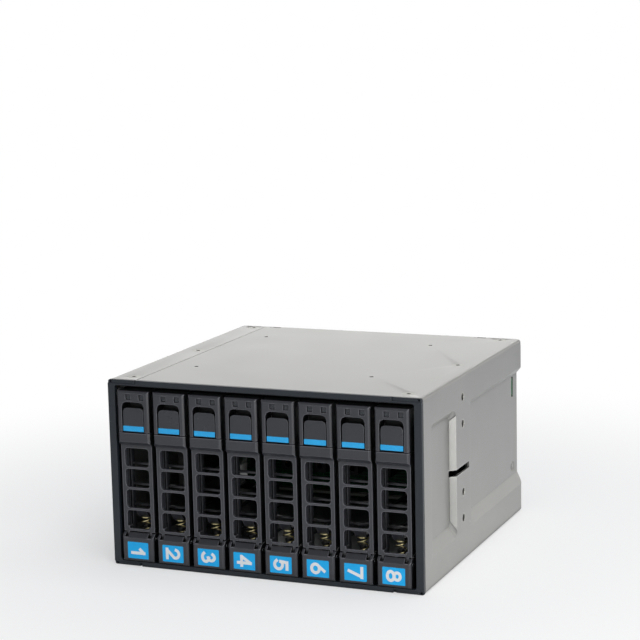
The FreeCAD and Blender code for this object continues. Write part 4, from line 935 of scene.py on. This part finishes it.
CAN_ASIDE, CAN_UP, CAN_RADIUS = 4.5 * mm, 5.5 * mm, 2.4 * mm
bm_cans = bmesh.new()
for side in (-1, 1):
    foot = Vector((side * (data_high.x + CAN_ASIDE), back, port_z + CAN_UP))
    heights = [foot + Vector((0, height, 0)) for height in (0, 0.6 * mm, 5.2 * mm, 5.4 * mm)]
    round_bar(bm_cans, heights, CAN_RADIUS, 24)
place_piece("backplane_capacitors", bm_cans, "cage", shield_tin)
print("board parts placed behind y =", round(back / mm, 2), "mm")

# %% [markdown]
# Each lower corner behind the board is closed with a black block, and a black sheet lies on the
# inner side of each wall. Both are painted shade, which keeps the view into the cage dark. Both are
# plain, so blocks with rounded edges do.

# %% Painted shade behind the board and on the walls
# Painted shade behind the board: black, and dull as cloth.
shade_block_finish = moulded("painted_shade_foam", "#0E0E0F", "#19191A", 0.75, 0.5 * mm, 0.05 * mm)
# Painted shade on the walls: black and smooth, with a low sheen.
shade_sheet_finish = moulded("painted_shade_film", "#0C0D0F", "#141619", 0.5, 0.8 * mm, 0.01 * mm)
SHADE_BLOCK_ACROSS, SHADE_BLOCK_UP = (1.6 * mm, 5.9 * mm), (1.1 * mm, 6.5 * mm)  # from the side, from the floor
SHADE_BLOCK_BACK = (0.05 * mm, 2.5 * mm)  # behind the board
SHADE_SHEET_ACROSS, SHADE_SHEET_UP = (3.6 * mm, 3.7 * mm), (21 * mm, 68 * mm)
SHADE_SHEET_FRONT, SHADE_SHEET_SHORT = -6 * mm, 0.3 * mm  # where it starts, and how far before the board it ends
bm_shade_blocks, bm_shade_sheets = bmesh.new(), bmesh.new()
for side in (-1, 1):
    near, far = sorted(side * (cad_high.x - inset) for inset in SHADE_BLOCK_ACROSS)
    soft_block(bm_shade_blocks, Vector((near, back + SHADE_BLOCK_BACK[0], SHADE_BLOCK_UP[0])),
               Vector((far, back + SHADE_BLOCK_BACK[1], SHADE_BLOCK_UP[1])), 0.3 * mm)
    near, far = sorted(side * (cad_high.x - inset) for inset in SHADE_SHEET_ACROSS)
    soft_block(bm_shade_sheets, Vector((near, SHADE_SHEET_FRONT, SHADE_SHEET_UP[0])),
               Vector((far, board_low.y - SHADE_SHEET_SHORT, SHADE_SHEET_UP[1])), 0.03 * mm)
place_piece("shade_blocks_behind_board", bm_shade_blocks, "cage", shade_block_finish, smooth=False)
place_piece("shade_sheets_on_walls", bm_shade_sheets, "cage", shade_sheet_finish, smooth=False)
print("films in mm:", round((SHADE_SHEET_UP[1] - SHADE_SHEET_UP[0]) / mm, 1), "tall, one at each side")

# %% [markdown]
# Each drive socket has a row of gold-plated contacts, which press on the drive's own. Real ones are a
# fraction of a millimetre wide; these keep the standard 1.27 mm spacing of a drive's connector, and a
# thin block for each is enough, as only their edges show.

# %% Contacts
socket_low, socket_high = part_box("drive_sockets")
CONTACT_PITCH = 1.27 * mm
CONTACT_END = 3 * mm  # bare length at each end of a socket
CONTACT_LEFT, CONTACT_RIGHT = -1.18 * mm, -0.9 * mm  # from the socket's middle
CONTACT_FRONT, CONTACT_BACK = 1.0 * mm, 5.8 * mm  # from the socket's front
rows = int((socket_high.z - socket_low.z - 2 * CONTACT_END) / CONTACT_PITCH)
bm_contacts = bmesh.new()
for tray in trays:
    low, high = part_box(tray + "_carrier")
    x = (low.x + high.x) / 2
    for k in range(rows):
        z = socket_low.z + CONTACT_END + CONTACT_PITCH * (k + 0.5)
        soft_block(bm_contacts, Vector((x + CONTACT_LEFT, socket_low.y + CONTACT_FRONT, z - 0.3 * mm)),
                   Vector((x + CONTACT_RIGHT, socket_low.y + CONTACT_BACK, z + 0.3 * mm)), 0.05 * mm)
place_piece("drive_socket_contacts", bm_contacts, "cage", contact_gold, smooth=False)
print("contacts per socket:", rows)

# %% [markdown]
# The camera stands to the right of the cage and a little above it, with a long lens, so that the
# uprights stay nearly parallel. It is rolled a little over one degree. Its place is worked out from
# the angles and the distance to an aim point in the plane of the front frame.

# %% Camera
AZIMUTH, ELEVATION, ROLL = math.radians(22.694), math.radians(9.767), math.radians(-1.300)
DISTANCE = 806.086 * mm
LENS, SENSOR = 109.01053125, 36.0  # millimetres, as Blender takes them
FRAME_PROUD = 1.6 * mm  # how far the trays stand out before the frame
aim = Vector((28.757 * mm, cad_low.y + FRAME_PROUD, 114.963 * mm))
back_way = Vector((math.sin(AZIMUTH) * math.cos(ELEVATION), -math.cos(AZIMUTH) * math.cos(ELEVATION),
                   math.sin(ELEVATION)))
right_way = Vector((math.cos(AZIMUTH), math.sin(AZIMUTH), 0))
up_way = back_way.cross(right_way)
rolled_right = right_way * math.cos(ROLL) + up_way * math.sin(ROLL)
rolled_up = up_way * math.cos(ROLL) - right_way * math.sin(ROLL)
camera_data = bpy.data.cameras.new("camera")
camera_data.sensor_width = SENSOR
camera_data.lens = LENS
camera_data.clip_end = 200  # metres, past the floor's edge
camera = bpy.data.objects.new("camera", camera_data)
bpy.context.scene.collection.objects.link(camera)
turn = Matrix((rolled_right, rolled_up, back_way)).transposed().to_4x4()
camera.matrix_world = Matrix.Translation(aim + back_way * DISTANCE) @ turn
bpy.context.scene.camera = camera
print("camera at", [round(v, 3) for v in camera.location], "lens", round(camera_data.lens, 1))

# %% [markdown]
# The floor is a wide sheet of white background paper. Near the cage it is matt and takes the shadow;
# further out it blends into the same white as the background for all that looks straight at it, so no
# horizon shows. A square plane would do as well; a disc has no corners that could show.

# %% Floor
FLOOR_REACH = 60  # metres
FLOOR_RINGS = (0.05, 0.2, 0.5, 1.0)
FADE_START, FADE_END = 0.1, 0.36  # metres from the middle of the cage
FADE_LEAST = 0.5  # share of plain white next to the cage


def floor_sheet(reach):
    """Flat disc that faces up."""
    bm = bmesh.new()
    rings = [[bm.verts.new((reach * share * c, reach * share * s, 0)) for c, s in circle(24)]
             for share in FLOOR_RINGS]
    bm.faces.new(rings[0])
    bridge(bm, rings)
    bmesh.ops.recalc_face_normals(bm, faces=bm.faces)
    if bm.faces[0].normal.z < 0:
        bmesh.ops.reverse_faces(bm, faces=bm.faces)
    return as_object("floor", bm)


def floor_paper():
    """Matt white paper that fades into the background."""
    material, tree, place, output = new_material("white_background_paper")
    distance = node(tree, "ShaderNodeVectorMath", {"operation": "LENGTH"}, {0: place})
    fade = node(tree, "ShaderNodeMapRange",
                {"From Min": FADE_START, "From Max": FADE_END, "To Min": FADE_LEAST,
                 "interpolation_type": "SMOOTHSTEP"},
                {"Value": distance.outputs["Value"]})
    fibre = node(tree, "ShaderNodeTexNoise", {"Scale": 1 / (2 * mm), "Detail": 3.0}, {"Vector": place})
    tone = node(tree, "ShaderNodeMix",
                {"data_type": "RGBA", 6: linear("#F2F2F1"), 7: linear("#F7F7F6")},
                {0: fibre.outputs["Fac"]})
    matt = node(tree, "ShaderNodeBsdfPrincipled", {"Roughness": 0.9}, {"Base Color": tone.outputs[2]})
    white = node(tree, "ShaderNodeEmission", {"Color": (1, 1, 1, 1), "Strength": 1.0})
    path = node(tree, "ShaderNodeLightPath")
    seen = node(tree, "ShaderNodeMath", {"operation": "MAXIMUM"},
                {0: path.outputs["Is Camera Ray"], 1: path.outputs["Is Transmission Ray"]})
    share = node(tree, "ShaderNodeMath", {"operation": "MULTIPLY"},
                 {0: seen.outputs[0], 1: fade.outputs[0]})
    both = node(tree, "ShaderNodeMixShader", {},
                {0: share.outputs[0], 1: matt.outputs[0], 2: white.outputs[0]})
    tree.links.new(both.outputs[0], output.inputs["Surface"])
    return material


floor = floor_sheet(FLOOR_REACH)
floor.data.materials.append(floor_paper())
print("floor reaches", FLOOR_REACH, "m")

# %% [markdown]
# The room round the cage is white. What looks straight at it sees full white, and so do metal and glass
# that mirror it near the horizon; higher up their reflection darkens, as under a studio's dark ceiling.
# On matt surfaces it casts only a weak, cool light, so that the lamps still shape them.

# %% Room
WALL_TOP, CEILING_START = 0.14, 0.4  # how steeply the view goes up, where 1 is straight up
ROOM_LIGHT, CEILING_LIGHT = 0.26, 0.2


def studio_room(strength, ceiling):
    """World with that strength on matt surfaces and that one for its mirrored ceiling."""
    world = bpy.data.worlds.new("room")
    world.use_nodes = True
    tree = world.node_tree
    tree.nodes.clear()
    path = node(tree, "ShaderNodeLightPath")
    way = node(tree, "ShaderNodeTexCoord")
    height = node(tree, "ShaderNodeSeparateXYZ", {}, {0: way.outputs["Generated"]})
    upper = node(tree, "ShaderNodeMapRange",
                 {"From Min": WALL_TOP, "From Max": CEILING_START, "To Min": 1.0, "To Max": ceiling,
                  "interpolation_type": "SMOOTHSTEP"},
                 {"Value": height.outputs["Z"]})
    mirrored = node(tree, "ShaderNodeMath", {"operation": "MAXIMUM"},
                    {0: path.outputs["Is Glossy Ray"], 1: path.outputs["Is Transmission Ray"]})
    room = node(tree, "ShaderNodeBackground", {"Color": linear("#E6EDFA"), "Strength": strength})
    mirror = node(tree, "ShaderNodeBackground", {"Color": (1, 1, 1, 1)},
                  {"Strength": upper.outputs[0]})
    white = node(tree, "ShaderNodeBackground", {"Color": (1, 1, 1, 1), "Strength": 1.0})
    both = node(tree, "ShaderNodeMixShader", {},
                {0: mirrored.outputs[0], 1: room.outputs[0], 2: mirror.outputs[0]})
    every = node(tree, "ShaderNodeMixShader", {},
                 {0: path.outputs["Is Camera Ray"], 1: both.outputs[0], 2: white.outputs[0]})
    node(tree, "ShaderNodeOutputWorld", {}, {"Surface": every.outputs[0]})
    bpy.context.scene.world = world


studio_room(ROOM_LIGHT, CEILING_LIGHT)
print("room:", bpy.context.scene.world.name)

# %% [markdown]
# Five soft lamps, as in a product studio. A tall strip at the right draws the bright line along each
# chamfer. One lamp stands at the upper right, and a large one hangs above. Behind the cage, a wide one
# that stands low gives the sheen on the top sheet, and a narrow one above it brightens the bend
# between the top and the right wall.

# %% Lights
LIT_POINT = Vector((0, 0, 0.04))  # the middle of the cage


def softbox(name, spot, size, power):
    """Rectangular lamp of (width, height) in metres that faces the cage; power is in watts."""
    lamp = bpy.data.lights.new(name, "AREA")
    lamp.shape = "RECTANGLE"
    lamp.size, lamp.size_y = size
    lamp.energy = power
    made = bpy.data.objects.new(name, lamp)
    bpy.context.scene.collection.objects.link(made)
    made.location = spot
    made.rotation_euler = (LIT_POINT - Vector(spot)).to_track_quat("-Z", "Y").to_euler()
    return made


lamps = [
    softbox("side_strip", (0.68, -0.5, 0.13), (0.12, 0.25), 1.5),
    softbox("key_light", (0.55, -0.75, 0.7), (0.45, 0.45), 3),
    softbox("top_light", (0.3, 0.0, 1.1), (0.8, 0.8), 6),
    softbox("back_light", (-0.45, 1.2, 0.27), (0.8, 0.3), 0.8),
    softbox("bend_light", (0.0, 1.2, 0.56), (0.3, 0.07), 0.35),
]
bpy.context.scene.view_settings.view_transform = "Standard"
print("lamps in watts:", {lamp.name: round(lamp.data.energy, 2) for lamp in lamps})

# %% [markdown]
# Last, the view layer is brought up to date. Rounds, films and rims are so thin that the dressed
# part's box should agree with the model's to a few hundredths of a millimetre.

# %% Finish
bpy.context.view_layer.update()
